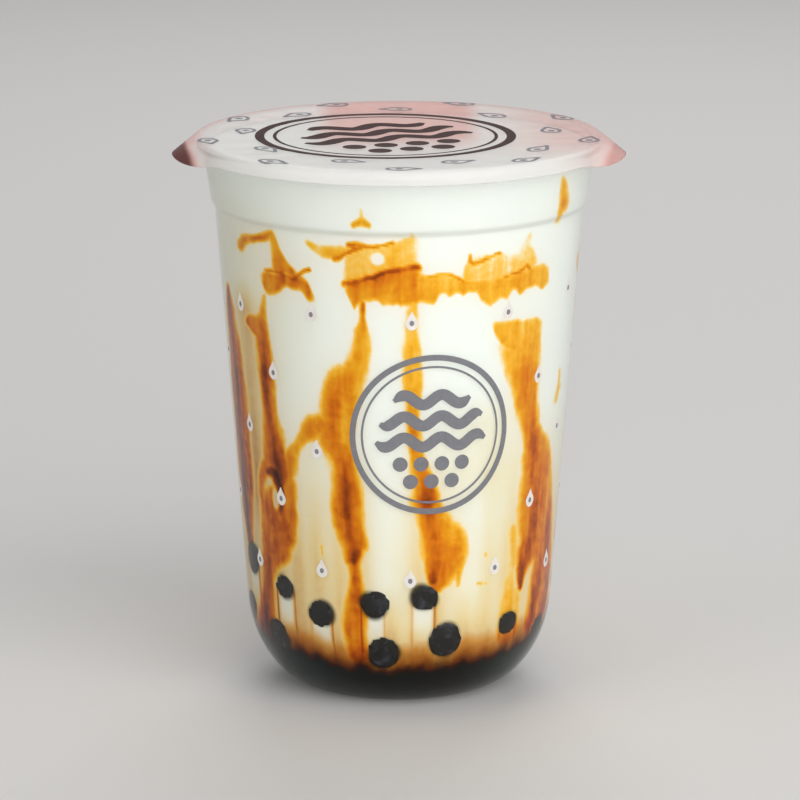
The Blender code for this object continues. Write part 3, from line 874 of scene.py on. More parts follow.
def drink_material(name, settings):
    """Milk tea and brown sugar syrup pressed against a clear wall.

    Opaque emulsion: diffuse, with no gloss of its own because the cup's face
    gives it.  The syrup's colour runs from straw through amber to burnt brown
    with its depth; fine upright wisps come from noise stretched along Z.
    """
    material, tree, output = new_material(name)
    place = add_node(tree, "ShaderNodeTexCoord").outputs["Object"]
    syrup, cream, murk, pearl = (
        add_node(tree, "ShaderNodeAttribute", {"attribute_name": field}).outputs["Fac"]
        for field in ("syrup", "cream", "murk", "pearl")
    )
    tall = add_node(tree, "ShaderNodeMapping", values={"Scale": (1, 1, 0.05)},
                    links={"Vector": place}).outputs["Vector"]
    wisps = add_node(tree, "ShaderNodeTexNoise",
                     values={"Scale": 1 / settings.wisp_width, "Detail": 2.5, "Roughness": 0.5},
                     links={"Vector": tall}).outputs["Fac"]
    grain = add_node(tree, "ShaderNodeTexNoise",
                     values={"Scale": 1 / settings.grain_size, "Detail": 3.0, "Roughness": 0.6},
                     links={"Vector": place}).outputs["Fac"]
    both = add_node(tree, "ShaderNodeMath", {"operation": "ADD"},
                    links={0: wisps, 1: grain}).outputs[0]
    swing = add_node(tree, "ShaderNodeMapRange",
                     values={"From Min": 0.6, "From Max": 1.4, "To Min": -0.12, "To Max": 0.12},
                     links={"Value": both}).outputs["Result"]
    # The swing frays the edges of the syrup, spares clean milk and fades where it is dark
    start = add_node(tree, "ShaderNodeMapRange", values={"From Max": 0.2},
                     links={"Value": syrup}).outputs["Result"]
    end = add_node(tree, "ShaderNodeMapRange",
                   values={"From Min": 0.72, "From Max": 0.9, "To Min": 1.0, "To Max": 0.2},
                   links={"Value": syrup}).outputs["Result"]
    room = add_node(tree, "ShaderNodeMath", {"operation": "MULTIPLY"},
                    links={0: start, 1: end}).outputs[0]
    depth = add_node(tree, "ShaderNodeMath", {"operation": "MULTIPLY_ADD", "use_clamp": True},
                     links={0: swing, 1: room, 2: syrup}).outputs[0]
    warmth = add_node(tree, "ShaderNodeMath", {"operation": "MULTIPLY_ADD", "use_clamp": True},
                      links={0: swing, 1: cream, 2: cream}).outputs[0]
    stain = add_node(tree, "ShaderNodeMath", {"operation": "MULTIPLY_ADD", "use_clamp": True},
                     links={0: swing, 1: murk, 2: murk}).outputs[0]
    milk = add_node(tree, "ShaderNodeValToRGB", links={"Fac": warmth})
    fill_ramp(milk, ((0.0, "#F1F5F1"), (0.25, "#EEE8CE"), (0.5, "#EBD6A0"),
                     (0.75, "#D9AF6C"), (1.0, "#AD743A")))
    sugar = add_node(tree, "ShaderNodeValToRGB", links={"Fac": depth})
    fill_ramp(sugar, ((0.0, "#F6E9BE"), (0.22, "#F5D478"), (0.36, "#F4BB32"), (0.48, "#E8A014"),
                      (0.6, "#DA7C0A"), (0.7, "#BA5904"), (0.8, "#803706"), (0.9, "#3C1604"),
                      (1.0, "#0E0C08")))
    cover = add_node(tree, "ShaderNodeMapRange", {"interpolation_type": "SMOOTHSTEP"},
                     values={"From Min": 0.02, "From Max": 0.28},
                     links={"Value": depth}).outputs["Result"]
    streaked = add_node(tree, "ShaderNodeMix", {"data_type": "RGBA"},
                        links={"Factor": cover, 6: milk.outputs["Color"],
                               7: sugar.outputs["Color"]}).outputs[2]
    stains = add_node(tree, "ShaderNodeValToRGB", links={"Fac": stain})
    fill_ramp(stains, ((0.0, "#FFFFFF"), (0.25, "#F2C888"), (0.5, "#CB8F45"),
                       (0.7, "#86501A"), (0.8, "#4A2009"), (0.93, "#160E06")))
    stained = add_node(tree, "ShaderNodeMix", {"data_type": "RGBA", "blend_type": 'MULTIPLY'},
                       values={"Factor": 1.0},
                       links={6: streaked, 7: stains.outputs["Color"]}).outputs[2]
    dotted = add_node(tree, "ShaderNodeMix", {"data_type": "RGBA"},
                      values={7: (*linear("#14150F"), 1)},
                      links={"Factor": pearl, 6: stained}).outputs[2]
    # Painted reflection: the deepest syrup takes a cold tint that stands in for the reflections at
    # the cup's foot, green-blue on the left, green on the right
    across = add_node(tree, "ShaderNodeSeparateXYZ", links={"Vector": place}).outputs["X"]
    along = add_node(tree, "ShaderNodeMapRange",
                     values={"From Min": -REFLECTION_REACH, "From Max": REFLECTION_REACH},
                     links={"Value": across}).outputs["Result"]
    cast = add_node(tree, "ShaderNodeValToRGB", links={"Fac": along})
    fill_ramp(cast, ((0.0, "#0A2E27"), (0.3, "#0D1512"), (0.7, "#100D08"), (1.0, "#20342A")))
    # Where the murk is deepest, the painted reflection takes over the colour
    deep = add_node(tree, "ShaderNodeMapRange", {"interpolation_type": "SMOOTHSTEP"},
                    values={"From Min": 0.78, "From Max": 1.0, "To Max": 0.95},
                    links={"Value": murk}).outputs["Result"]
    colour = add_node(tree, "ShaderNodeMix", {"data_type": "RGBA"},
                      links={"Factor": deep, 6: dotted, 7: cast.outputs["Color"]}).outputs[2]
    bump = add_node(tree, "ShaderNodeBump", values={"Strength": 0.10, "Distance": 0.2 * MM},
                    links={"Height": grain}).outputs["Normal"]
    shader = add_node(tree, "ShaderNodeBsdfPrincipled",
                      values={"Roughness": 0.55, "IOR": 1.35, "Specular IOR Level": 0.0},
                      links={"Base Color": colour, "Normal": bump})
    tree.links.new(shader.outputs["BSDF"], output.inputs["Surface"])
    return material


def pass_light(tree, shader, output, share):
    """Join a shader to the output so that shadow rays pass it with a share of their light."""
    through = add_node(tree, "ShaderNodeBsdfTransparent", values={"Color": (share,) * 3 + (1,)})
    path = add_node(tree, "ShaderNodeLightPath")
    mix = add_node(tree, "ShaderNodeMixShader", links={
        0: path.outputs["Is Shadow Ray"], 1: shader.outputs["BSDF"], 2: through.outputs["BSDF"],
    })
    tree.links.new(mix.outputs["Shader"], output.inputs["Surface"])


def clear_plastic(name, tint, roughness):
    """Injection moulded clear polypropylene: a slightly milky, glossy see-through wall.

    IOR 1.49; shadow rays pass straight through so that the drink is lit, and the
    reflection is turned down so that the dark syrup keeps its depth.
    """
    material, tree, output = new_material(name)
    place = add_node(tree, "ShaderNodeTexCoord").outputs["Object"]
    flow = add_node(tree, "ShaderNodeTexNoise",
                    values={"Scale": 1 / (9 * MM), "Detail": 2.0},
                    links={"Vector": place}).outputs["Fac"]
    rough = add_node(tree, "ShaderNodeMapRange",
                     values={"To Min": roughness * 0.7, "To Max": roughness * 1.4},
                     links={"Value": flow}).outputs["Result"]
    bump = add_node(tree, "ShaderNodeBump", values={"Strength": 0.08, "Distance": 0.3 * MM},
                    links={"Height": flow}).outputs["Normal"]
    shader = add_node(tree, "ShaderNodeBsdfPrincipled",
                      values={"Base Color": (*tint, 1), "IOR": 1.49, "Transmission Weight": 1.0,
                              "Specular IOR Level": 0.2, "Specular Tint": (0.35, 0.35, 0.35, 1)},
                      links={"Roughness": rough, "Normal": bump})
    pass_light(tree, shader, output, 0.95)
    return material


def film_material(name, settings):
    """Polypropylene sealing film, blown thin and printed pale: hazy and glossy.

    Half see-through, with a rosy cast towards the back and the tabs, the left tab deeper still as
    painted shade, and faint wrinkles from heat sealing.
    """
    material, tree, output = new_material(name)
    place = add_node(tree, "ShaderNodeTexCoord").outputs["Object"]
    blush = add_node(tree, "ShaderNodeAttribute", {"attribute_name": "blush"}).outputs["Fac"]
    creases = add_node(tree, "ShaderNodeTexNoise",
                       values={"Scale": 1 / (7 * MM), "Detail": 3.0, "Distortion": 0.6},
                       links={"Vector": place}).outputs["Fac"]
    rosy = add_node(tree, "ShaderNodeMapRange", values={"From Max": 0.6},
                    links={"Value": blush}).outputs["Result"]
    deep = add_node(tree, "ShaderNodeMapRange", values={"From Min": 0.6},
                    links={"Value": blush}).outputs["Result"]
    pale = add_node(tree, "ShaderNodeMix", {"data_type": "RGBA"},
                    values={6: (*settings.film_colour, 1), 7: (*settings.blush_colour, 1)},
                    links={"Factor": rosy}).outputs[2]
    # Painted shade: the deep tab colour darkens the left tab most
    colour = add_node(tree, "ShaderNodeMix", {"data_type": "RGBA"},
                      values={7: (*settings.tab_rose_and_shade, 1)},
                      links={"Factor": deep, 6: pale}).outputs[2]
    cover = add_node(tree, "ShaderNodeMapRange",
                     values={"From Min": 0.6, "To Min": settings.haze, "To Max": 0.85},
                     links={"Value": blush}).outputs["Result"]
    bump = add_node(tree, "ShaderNodeBump", values={"Strength": 0.2, "Distance": 0.25 * MM},
                    links={"Height": creases}).outputs["Normal"]
    shader = add_node(tree, "ShaderNodeBsdfPrincipled",
                      values={"Roughness": 0.25, "IOR": 1.49, "Specular IOR Level": 0.3},
                      links={"Base Color": colour, "Normal": bump, "Alpha": cover})
    pass_light(tree, shader, output, 0.85)
    return material


def pearl_material(name):
    """Cooked tapioca in syrup: a wet, gummy, nearly black ball, unevenly toned, with grey-blue
    specks painted in as wet highlights.
    """
    material, tree, output = new_material(name)
    place = add_node(tree, "ShaderNodeTexCoord").outputs["Object"]
    mottle_and_glints = add_node(tree, "ShaderNodeTexNoise",
                      values={"Scale": 1 / (2.2 * MM), "Detail": 3.0},
                      links={"Vector": place}).outputs["Fac"]
    colour = add_node(tree, "ShaderNodeValToRGB", links={"Fac": mottle_and_glints})
    # The grey-blue top stop paints wet highlights into the ball's uneven tone
    fill_ramp(colour, ((0.3, "#070604"), (0.55, "#12120F"), (0.72, "#33343F")))
    bump = add_node(tree, "ShaderNodeBump", values={"Strength": 0.2, "Distance": 0.1 * MM},
                    links={"Height": mottle_and_glints}).outputs["Normal"]
    shader = add_node(tree, "ShaderNodeBsdfPrincipled",
                      values={"Roughness": 0.25, "IOR": 1.42},
                      links={"Base Color": colour.outputs["Color"], "Normal": bump})
    tree.links.new(shader.outputs["BSDF"], output.inputs["Surface"])
    return material


def ink_material(name, colour, density):
    """Screen printing ink on plastic: matt, thin, a little uneven in its cover."""
    material, tree, output = new_material(name)
    place = add_node(tree, "ShaderNodeTexCoord").outputs["Object"]
    cover = add_node(tree, "ShaderNodeTexNoise",
                     values={"Scale": 1 / (1.2 * MM), "Detail": 2.0},
                     links={"Vector": place}).outputs["Fac"]
    shades = add_node(tree, "ShaderNodeMix", {"data_type": "RGBA"}, values={
        6: (*(0.85 * c for c in colour), 1), 7: (*(min(1.0, 1.12 * c) for c in colour), 1),
    }, links={"Factor": cover})
    shader = add_node(tree, "ShaderNodeBsdfPrincipled",
                      values={"Roughness": 0.6, "Specular IOR Level": 0.1, "Alpha": density},
                      links={"Base Color": shades.outputs[2]})
    pass_light(tree, shader, output, 0.9)
    return material


def ribbon(path, half_width, closed=False):
    """Band on the flat: path points moved sideways by -1, 0 and 1 times the half width."""
    path = np.asarray(path, float)
    if closed:
        along = np.roll(path, -1, axis=0) - np.roll(path, 1, axis=0)
    else:
        along = np.gradient(path, axis=0)
    side = np.column_stack([-along[:, 1], along[:, 0]])
    side /= np.linalg.norm(side, axis=1, keepdims=True)
    width = np.broadcast_to(half_width, len(path))[:, None]
    return np.stack([path + side * width * k for k in (1, 0, -1)]), closed


def round_spot(centre, half_width, half_height, point=0.0, count=9):
    """Disc on the flat from a square grid: x sqrt(1 - y y / 2), y sqrt(1 - x x / 2).

    A point above 0 narrows the upper part to the tip of a drop.
    """
    x, y = np.meshgrid(np.linspace(-1, 1, count), np.linspace(1, -1, count))
    u = x * np.sqrt(1 - y * y / 2)
    v = y * np.sqrt(1 - x * x / 2)
    u = u * (1 - point * smoothstep(-0.4, 1.0, v)) * half_width
    return np.stack([centre[0] + u, centre[1] + v * half_height], axis=-1), False


def circle(radius, count=96):
    """Points round a circle on the flat."""
    turn = np.linspace(0, math.tau, count, endpoint=False)
    return radius * np.column_stack([np.cos(turn), np.sin(turn)])


def badge(scale):
    """Generic round badge in mm: two rings, three waves of drink, and beads below them."""
    patches = [ribbon(circle(radius * scale), half_width * scale, closed=True)
               for radius, half_width in BADGE_RINGS]
    for height, half_span in BADGE_WAVES:
        x = np.linspace(-half_span, half_span, 49)
        wave = height + WAVE_SWING * np.sin(x * math.tau / WAVE_LENGTH)
        taper = np.clip((half_span - np.abs(x)) / WAVE_TAPER, 0.15, 1) ** 0.5
        patches.append(ribbon(np.column_stack([x, wave]) * scale, WAVE_HALF_WIDTH * taper * scale))
    bead = BEAD_RADIUS * scale
    for row, count in BADGE_BEADS:
        for index in range(count):
            x = (index - (count - 1) / 2) * BEAD_SPACING
            patches.append(round_spot((x * scale, row * scale), bead, bead))
    return patches


def drop_outline(half_width, half_height, count=28):
    """Points round a drop: sine across, cosine up, the upper half drawn in to a tip."""
    turn = np.linspace(0, math.tau, count, endpoint=False)
    up = np.cos(turn)
    across = np.sin(turn) * (1 - 0.75 * smoothstep(-0.3, 1.0, up))
    return np.column_stack([half_width * across, half_height * up])


def stand_patches(name, patches, thickness):
    """Mesh of (patch, place) pairs: flat patches in mm, each laid on a surface by its place."""
    points, quads, start = [], [], 0
    for (patch, closed), place in patches:
        rows, columns = patch.shape[:2]
        points.append(place(patch[..., 0].ravel(), patch[..., 1].ravel()))
        quads.append(grid_faces(rows, columns, closed) + start)
        start += rows * columns
    obj = mesh_object(name, np.concatenate(points), np.concatenate(quads), smooth=False)
    thicken(obj, "Ink thickness", thickness, 1.0)
    return obj


def on_wall(angle, height_mm):
    """Function that lays a flat patch on the cup's outer face about a place.

    The patch's x becomes arc length round the cup and its y height.
    """
    def place(x, y):
        height = (height_mm + y) * MM
        radius = cup_radius(height)
        turn = math.radians(angle) + x * MM / radius
        return np.column_stack([radius * np.sin(turn), -radius * np.cos(turn), height])
    return place


def lobe(angle, centre, half_angle):
    """Raised cosine from 1 at an angle down to 0 at a half angle either side of it."""
    turn = (angle - centre + math.pi) % math.tau - math.pi
    return 0.5 + 0.5 * np.cos(np.clip(math.pi * turn / half_angle, -math.pi, math.pi))


def film_surface(angle, distance):
    """Top side of the film by angle and by distance from the centre along the film.

    Past the flat disc the edge bends down over the rim in a quarter ellipse,
    drawn out into the two tabs, which hang lower at their front corners.  The
    flat sags a little towards the middle and ripples beside the rim.
    """
    inner = np.clip(distance / FILM_FLAT_RADIUS, 0, 1)
    outer = np.clip((distance - FILM_FLAT_RADIUS) / FILM_EDGE_LENGTH, 0, 1)
    bend = outer * math.pi / 2
    radius = inner * FILM_FLAT_RADIUS + (FILM_EDGE_RADIUS - FILM_FLAT_RADIUS) * np.sin(bend)
    drop = FILM_EDGE_DROP * (1 - np.cos(bend))
    reach = TAB_REACH / math.cos(TAB_TURN) - FILM_EDGE_RADIUS
    for tab, corner in ((-TAB_TURN, -HANG_TURN), (math.pi + TAB_TURN, math.pi + HANG_TURN)):
        radius = radius + reach * outer ** 1.5 * lobe(angle, tab, TAB_HALF_ANGLE) ** 0.8
        drop = drop + TAB_HANG * outer ** 2 * lobe(angle, corner, HANG_HALF_ANGLE)
    unsealed = 1 - smoothstep(0.88, 0.94, inner)
    sag = FILM_SAG * (1 - inner ** 2) * unsealed + FILM_DIP
    ripple = FILM_RIPPLE * np.sin(angle * 23 + 2 * np.sin(angle * 5))
    height = FILM_TOP_Z - drop - sag + ripple * smoothstep(0.5, 0.9, inner) * unsealed
    return np.stack([radius * np.cos(angle), radius * np.sin(angle), height], axis=-1)


def film_cast(points):
    """Cast of the film from 0, pale, over 0.6, rosy, to 1 at the left tab, whose deepest cast is
    painted shade.

    The deepest of the tabs', the back of the rim's, the middle's and the right
    side's counts, each eased in over the places named for it.
    """
    x, y = points[:, 0] / MM, points[:, 1] / MM
    reach = np.hypot(points[:, 0], points[:, 1])
    rim = smoothstep(FILM_FLAT_RADIUS - 2 * MM, FILM_EDGE_RADIUS, reach)
    tabs = smoothstep(FILM_EDGE_RADIUS, FILM_EDGE_RADIUS + 2 * MM, reach)
    return np.maximum.reduce([
        0.5 * rim * smoothstep(*RIM_CAST_Y, y),
        tabs * np.where(x < 0, 1.0, RIGHT_TAB_CAST),
        0.5 * smoothstep(*MIDDLE_CAST_X, np.abs(x)) * smoothstep(*MIDDLE_CAST_Y, y),
        0.4 * smoothstep(*RIGHT_CAST_X, x) * smoothstep(*RIGHT_CAST_Y, y),
    ])


def on_film(x_mm, y_mm, turn):
    """Function that lays a flat patch on the film about a place, turned by an angle."""
    def place(x, y):
        px = (x_mm + x * math.cos(turn) - y * math.sin(turn)) * MM
        py = (y_mm + x * math.sin(turn) + y * math.cos(turn)) * MM
        return film_surface(np.arctan2(py, px), np.hypot(px, py))
    return place


def wall_pearl_centres(inset):
    """Centres of the pearls on the wall, each set back until its flat has its spot's size."""
    centres = []
    step = 0.5 * MM
    for (angle, height_mm), spot in zip(pearl_places(), SPOTS_MM):
        depth = math.sqrt(PEARL_RADIUS ** 2 - (spot * MM) ** 2)
        height = height_mm * MM
        slope = float(wall_radius(height + step, inset) - wall_radius(height - step, inset))
        lean = math.atan(slope / (2 * step))
        radius = float(wall_radius(height, inset)) - depth * math.cos(lean)
        around = math.radians(angle)
        centres.append((radius * math.sin(around), -radius * math.cos(around),
                        height + depth * math.sin(lean)))
    return centres


def top_pearl_centres():
    """Centres of the pearls in rings on top of the heap, a little out of line."""
    draw = random.Random(TOP_PEARL_SEED)
    centres = []
    for order, (ring, count) in enumerate(TOP_PEARL_RINGS):
        for index in range(count):
            around = math.tau * (index + 0.5 * (order % 2)) / count + draw.uniform(-0.05, 0.05)
            centres.append((ring * MM * math.cos(around), ring * MM * math.sin(around),
                            HEAP_CORE_TOP_Z - TOP_PEARL_DEPTH + draw.uniform(-0.8, 0.8) * MM))
    return centres


def pearl_points(seed, centre, inset):
    """Points of a ball with seeded waves of its radius, pressed flat by wall and syrup.

    Each point is kept inside the wall's radius at its height and above the syrup.
    """
    draw = random.Random(seed)
    a, b, c = (draw.uniform(0, math.tau) for _ in range(3))
    north = np.linspace(0, math.pi, PEARL_ROWS + 2)[1:-1, None]
    east = np.linspace(0, math.tau, PEARL_COLUMNS, endpoint=False)[None, :]
    size = PEARL_RADIUS * (1 + 0.05 * np.sin(2 * east + a) * np.sin(north) ** 2
                           + 0.035 * np.sin(3 * north + b)
                           + 0.025 * np.sin(3 * east + c) * np.sin(north) ** 2)
    ball = np.stack([
        size * np.sin(north) * np.cos(east), size * np.sin(north) * np.sin(east),
        size * np.cos(north) + 0 * east,
    ], axis=-1).reshape(-1, 3)
    ball = np.vstack([ball, [[0, 0, PEARL_RADIUS], [0, 0, -PEARL_RADIUS]]]) + centre
    limit = wall_radius(ball[:, 2], inset)
    ball[:, :2] *= np.minimum(1, limit / np.hypot(ball[:, 0], ball[:, 1]))[:, None]
    ball[:, 2] = np.maximum(ball[:, 2], SYRUP_TOP_Z + LAYER_GAP)
    return ball


class CupSettings(bpy.types.PropertyGroup):
    """Clear cup."""

    sides: IntProperty(name="Sides", description="Sides of the turned cup", default=192, min=24)
    tint: FloatVectorProperty(name="Tint", description="Colour of the clear plastic",
                              subtype='COLOR', default=linear("#FAFCFB"))
    roughness: FloatProperty(name="Roughness", description="Roughness of the moulded faces",
                             default=0.04, min=0.0, max=1.0)


class DrinkSettings(bpy.types.PropertyGroup):
    """Milk tea and syrup."""

    sides: IntProperty(name="Sides", description="Columns of points round the drink",
                       default=396, min=48)
    crowding: FloatProperty(name="Crowding", description="How much closer they are at the front",
                            default=0.5, min=0.0, max=0.9)
    spacing: FloatProperty(name="Row spacing", description="Height of a row of points",
                           unit='LENGTH', default=0.5 * MM)
    grain_size: FloatProperty(name="Grain size", description="Size of the blotches in the syrup",
                              unit='LENGTH', default=2.2 * MM)
    wisp_width: FloatProperty(name="Wisp width", description="Width of the upright wisps",
                              unit='LENGTH', default=1.9 * MM)


class FilmSettings(bpy.types.PropertyGroup):
    """Sealing film."""

    film_colour: FloatVectorProperty(name="Colour", description="Colour of the hazy film",
                                     subtype='COLOR', default=linear("#F6F4F1"))
    blush_colour: FloatVectorProperty(name="Blush", description="Cast of the back and middle",
                                      subtype='COLOR', default=linear("#F3BBB2"))
    tab_rose_and_shade: FloatVectorProperty(name="Tab colour", description="Deepest cast, at the tabs",
                                    subtype='COLOR', default=linear("#6E3834"))
    haze: FloatProperty(name="Haze", description="How much the film covers", default=0.54,
                        min=0.0, max=1.0)


class PrintSettings(bpy.types.PropertyGroup):
    """Printing on the cup and the film."""

    grey: FloatVectorProperty(name="Grey ink", description="Badge on the cup",
                              subtype='COLOR', default=linear("#88888E"))
    white: FloatVectorProperty(name="White ink", description="Small drops on the cup",
                               subtype='COLOR', default=linear("#FBF1EC"))
    brown: FloatVectorProperty(name="Brown ink", description="Badge on the film",
                               subtype='COLOR', default=linear("#3A1B18"))
    thickness: FloatProperty(name="Thickness", description="Thickness of the ink",
                             unit='LENGTH', default=0.03 * MM)


class StageSettings(bpy.types.PropertyGroup):
    """Floor, lights and camera."""

    floor: FloatVectorProperty(name="Floor", description="Colour of the floor",
                               subtype='COLOR', default=linear("#DEDCD9"))
    key_power: FloatProperty(name="Key light", description="Power of the large soft light",
                             default=12.6, min=0.0)
    fill_power: FloatProperty(name="Fill light", description="Power of the light from the left",
                              default=2.0, min=0.0)
    sky: FloatProperty(name="Surroundings", description="Strength of the even light",
                       default=0.33, min=0.0)


class BUBBLE_TEA_OT_cup(bpy.types.Operator):
    """Turn the clear cup with its rim, collar, rounded foot and recess"""

    bl_idname = "bubble_tea.cup"
    bl_label = "Clear Cup"

    def execute(self, context):
        settings = context.scene.bubble_tea_cup
        rim_foot = RIM_TOP_Z - RIM_THICKNESS
        lip = RIM_FILLET
        recess = FOOT_RADIUS - FOOT_WIDTH
        profile = np.vstack([
            [(0, RECESS_HEIGHT + WALL)], side_and_corner(RIM_TOP_Z - lip, WALL)[::-1],
            arc((COLLAR_TOP_RADIUS - WALL + lip, RIM_TOP_Z - lip), lip, 180, 90, 5)[1:],
            arc((RIM_RADIUS - lip, RIM_TOP_Z - lip), lip, 90, 0, 5),
            arc((RIM_RADIUS - lip, rim_foot + lip), lip, 0, -90, 5),
            side_and_corner(rim_foot, 0.0),
            [(recess, 0), (recess - RECESS_HEIGHT, RECESS_HEIGHT), (0, RECESS_HEIGHT)],
        ])
        cup = lathe("clear_cup", profile, settings.sides)
        mark_sharp(cup, CREASE)
        finish_piece(cup, clear_plastic("moulded_polypropylene", settings.tint, settings.roughness),
                     "clear_cup", "cup")
        return {'FINISHED'}


class BUBBLE_TEA_OT_drink(bpy.types.Operator):
    """Fill the cup with streaked milk tea and the dark syrup at its foot"""

    bl_idname = "bubble_tea.drink"
    bl_label = "Milk Tea and Syrup"

    def execute(self, context):
        settings = context.scene.bubble_tea_drink
        inset = WALL - BITE
        seam = SYRUP_TOP_Z + BITE
        side = side_profile(MILK_TOP_Z, seam, inset, settings.spacing)
        rim = side[0, 0]
        radii = np.linspace(0, rim, MILK_TOP_ROWS)[1:-1]
        middle_z = MILK_TOP_Z - MILK_CLIMB
        climb = MILK_CLIMB * smoothstep(rim - MILK_CLIMB_WIDTH, rim, radii)
        top = np.column_stack([radii, middle_z + climb])
        bottom = level_profile(side[-1, 0], 0, seam, 3)
        profile = np.vstack([[(0, middle_z)], top, side, bottom, [(0, seam)]])
        finish_piece(pour("streaked_milk_tea", profile, settings),
                     drink_material("milk_tea_emulsion", settings), "milk_tea", "milk_tea")

        top_z = seam + LAYER_OVERLAP
        heights = corner_heights(inset, SYRUP_CORNER_ROWS)
        heights = np.concatenate([[top_z], heights[heights < top_z]])
        wall = np.column_stack([cup_radius(heights, inset), heights])
        lid = level_profile(0, wall[0, 0], top_z, 4)
        profile = np.vstack([[(0, top_z)], lid, wall, [(0, RECESS_HEIGHT + inset)]])
        finish_piece(pour("dark_syrup", profile, settings),
                     drink_material("burnt_sugar_syrup", settings),
                     "brown_sugar_syrup", "brown_sugar_syrup")
        return {'FINISHED'}


class BUBBLE_TEA_OT_pearls(bpy.types.Operator):
    """Heap the tapioca pearls, the outer ones pressed flat on the wall"""

    bl_idname = "bubble_tea.pearls"
    bl_label = "Tapioca Pearls"

    def execute(self, context):
        inset = WALL - BITE - PEARL_PROUD
        centres = wall_pearl_centres(inset) + top_pearl_centres()
        balls = [pearl_points(seed, centre, inset) for seed, centre in enumerate(centres)]
        starts = len(balls[0]) * np.arange(len(balls))[:, None, None]
        quads = grid_faces(PEARL_ROWS, PEARL_COLUMNS, wrap=True) + starts
        caps = pole_faces(PEARL_ROWS, PEARL_COLUMNS) + starts
        pearls = mesh_object("tapioca_pearls", np.concatenate(balls), quads.reshape(-1, 4),
                             caps.reshape(-1, 3))
        finish_piece(pearls, pearl_material("cooked_tapioca"), "tapioca_pearl", "pearls")
        core_inset = WALL + HEAP_CORE_INSET
        base, top = SYRUP_TOP_Z + LAYER_GAP, HEAP_CORE_TOP_Z - HEAP_CORE_SINK
        side = side_profile(HEAP_CORE_SHOULDER_Z, base, core_inset, HEAP_CORE_SPACING)
        flat = (HEAP_CORE_TOP_SHARE * side[0, 0], top)
        profile = np.vstack([[(0, top), flat], side, [(0, base)]])
        core = lathe("pearl_heap_core", profile, HEAP_CORE_SIDES)
        mark_sharp(core, CREASE)
        finish_piece(core, pearl_material("packed_tapioca"), "tapioca_pearl")
        return {'FINISHED'}


class BUBBLE_TEA_OT_film(bpy.types.Operator):
    """Stretch the sealing film over the rim with its two tabs"""

    bl_idname = "bubble_tea.film"
    bl_label = "Sealing Film"

    def execute(self, context):
        settings = context.scene.bubble_tea_film
        angle = np.linspace(0, math.tau, FILM_COLUMNS, endpoint=False)[None, :]
        end = FILM_FLAT_RADIUS + FILM_EDGE_LENGTH
        distance = np.concatenate([
            np.linspace(0, FILM_FLAT_RADIUS, FILM_FLAT_ROWS)[1:],
            np.linspace(FILM_FLAT_RADIUS, end, FILM_EDGE_ROWS)[1:],
        ])[:, None]
        rings = film_surface(*np.broadcast_arrays(angle, distance))
        points = np.vstack([rings.reshape(-1, 3), film_surface(np.zeros(1), np.zeros(1))])
        quads = grid_faces(len(rings), FILM_COLUMNS, wrap=True)
        middle = pole_faces(len(rings), FILM_COLUMNS)[:FILM_COLUMNS]
        film = mesh_object("sealing_film", points, quads, middle)
        store_field(film.data, "blush", film_cast(points))
        thicken(film, "Film thickness", FILM_THICKNESS, -1.0)
        finish_piece(film, film_material("blown_polypropylene_film", settings),
                     "printed_film", "seal_film")
        return {'FINISHED'}


class BUBBLE_TEA_OT_printing(bpy.types.Operator):
    """Print the badge and the small drops on the cup and on the film"""

    bl_idname = "bubble_tea.printing"
    bl_label = "Printing"

    def execute(self, context):
        settings = context.scene.bubble_tea_print
        ink = ink_material("grey_screen_ink", settings.grey, GREY_COVER)
        middle = on_wall(BADGE_ANGLE, BADGE_HEIGHT)
        cup_badge = stand_patches("cup_badge", [(patch, middle) for patch in badge(1.0)],
                                  settings.thickness)
        finish_piece(cup_badge, ink, "clear_cup")
        white = ink_material("white_screen_ink", settings.white, WHITE_COVER)
        low, high = BADGE_CLEAR_HEIGHTS
        drops, dots = [], []
        for row, height in enumerate(CUP_DROP_HEIGHTS):
            for index in range(CUP_DROPS_IN_ROW):
                angle = index * 360 / CUP_DROPS_IN_ROW + CUP_DROP_STAGGER * (row % 2)
                angle = angle + CUP_DROP_START
                beside = abs(wrapped(angle - BADGE_ANGLE)) < BADGE_CLEAR_ANGLE
                if beside and low < height < high:
                    continue
                place = on_wall(angle, height + 1.5 * math.sin(index * 2.1 + row))
                drops.append((round_spot((0, 0), *CUP_DROP_SIZE, point=0.75), place))
                dots.append((round_spot(CUP_DOT_PLACE, *CUP_DOT_SIZE), place))
        cup_drops = stand_patches("cup_drops", drops, settings.thickness)
        finish_piece(cup_drops, white, "clear_cup")
        # The dots stand a little prouder than the drops that they lie on
        cup_dots = stand_patches("cup_drop_dots", dots, 2 * settings.thickness)
        finish_piece(cup_dots, ink, "clear_cup")
        brown = ink_material("brown_film_ink", settings.brown, BROWN_COVER)
        centre = on_film(FILM_BADGE_X, 0.0, FILM_BADGE_TURN)
        film_badge = stand_patches(
            "film_badge", [(patch, centre) for patch in badge(FILM_BADGE_SCALE)], settings.thickness
        )
        finish_piece(film_badge, brown, "printed_film")
        scatter = []
        for index in range(FILM_DROP_COUNT):
            around = math.tau * index / FILM_DROP_COUNT + 0.2
            reach = FILM_DROP_REACHES[index % 2] + 0.8 * math.sin(index * 2.4)
            place = on_film(reach * math.cos(around), reach * math.sin(around), around)
            outline = ribbon(drop_outline(*FILM_DROP_SIZE), FILM_DROP_LINE, closed=True)
            scatter.append((outline, place))
            scatter.append((round_spot(FILM_DOT_PLACE, *FILM_DOT_SIZE), place))
        film_grey = ink_material("grey_film_ink", settings.grey, GREY_COVER)
        film_drops = stand_patches("film_drops", scatter, settings.thickness)
        finish_piece(film_drops, film_grey, "printed_film")
        return {'FINISHED'}


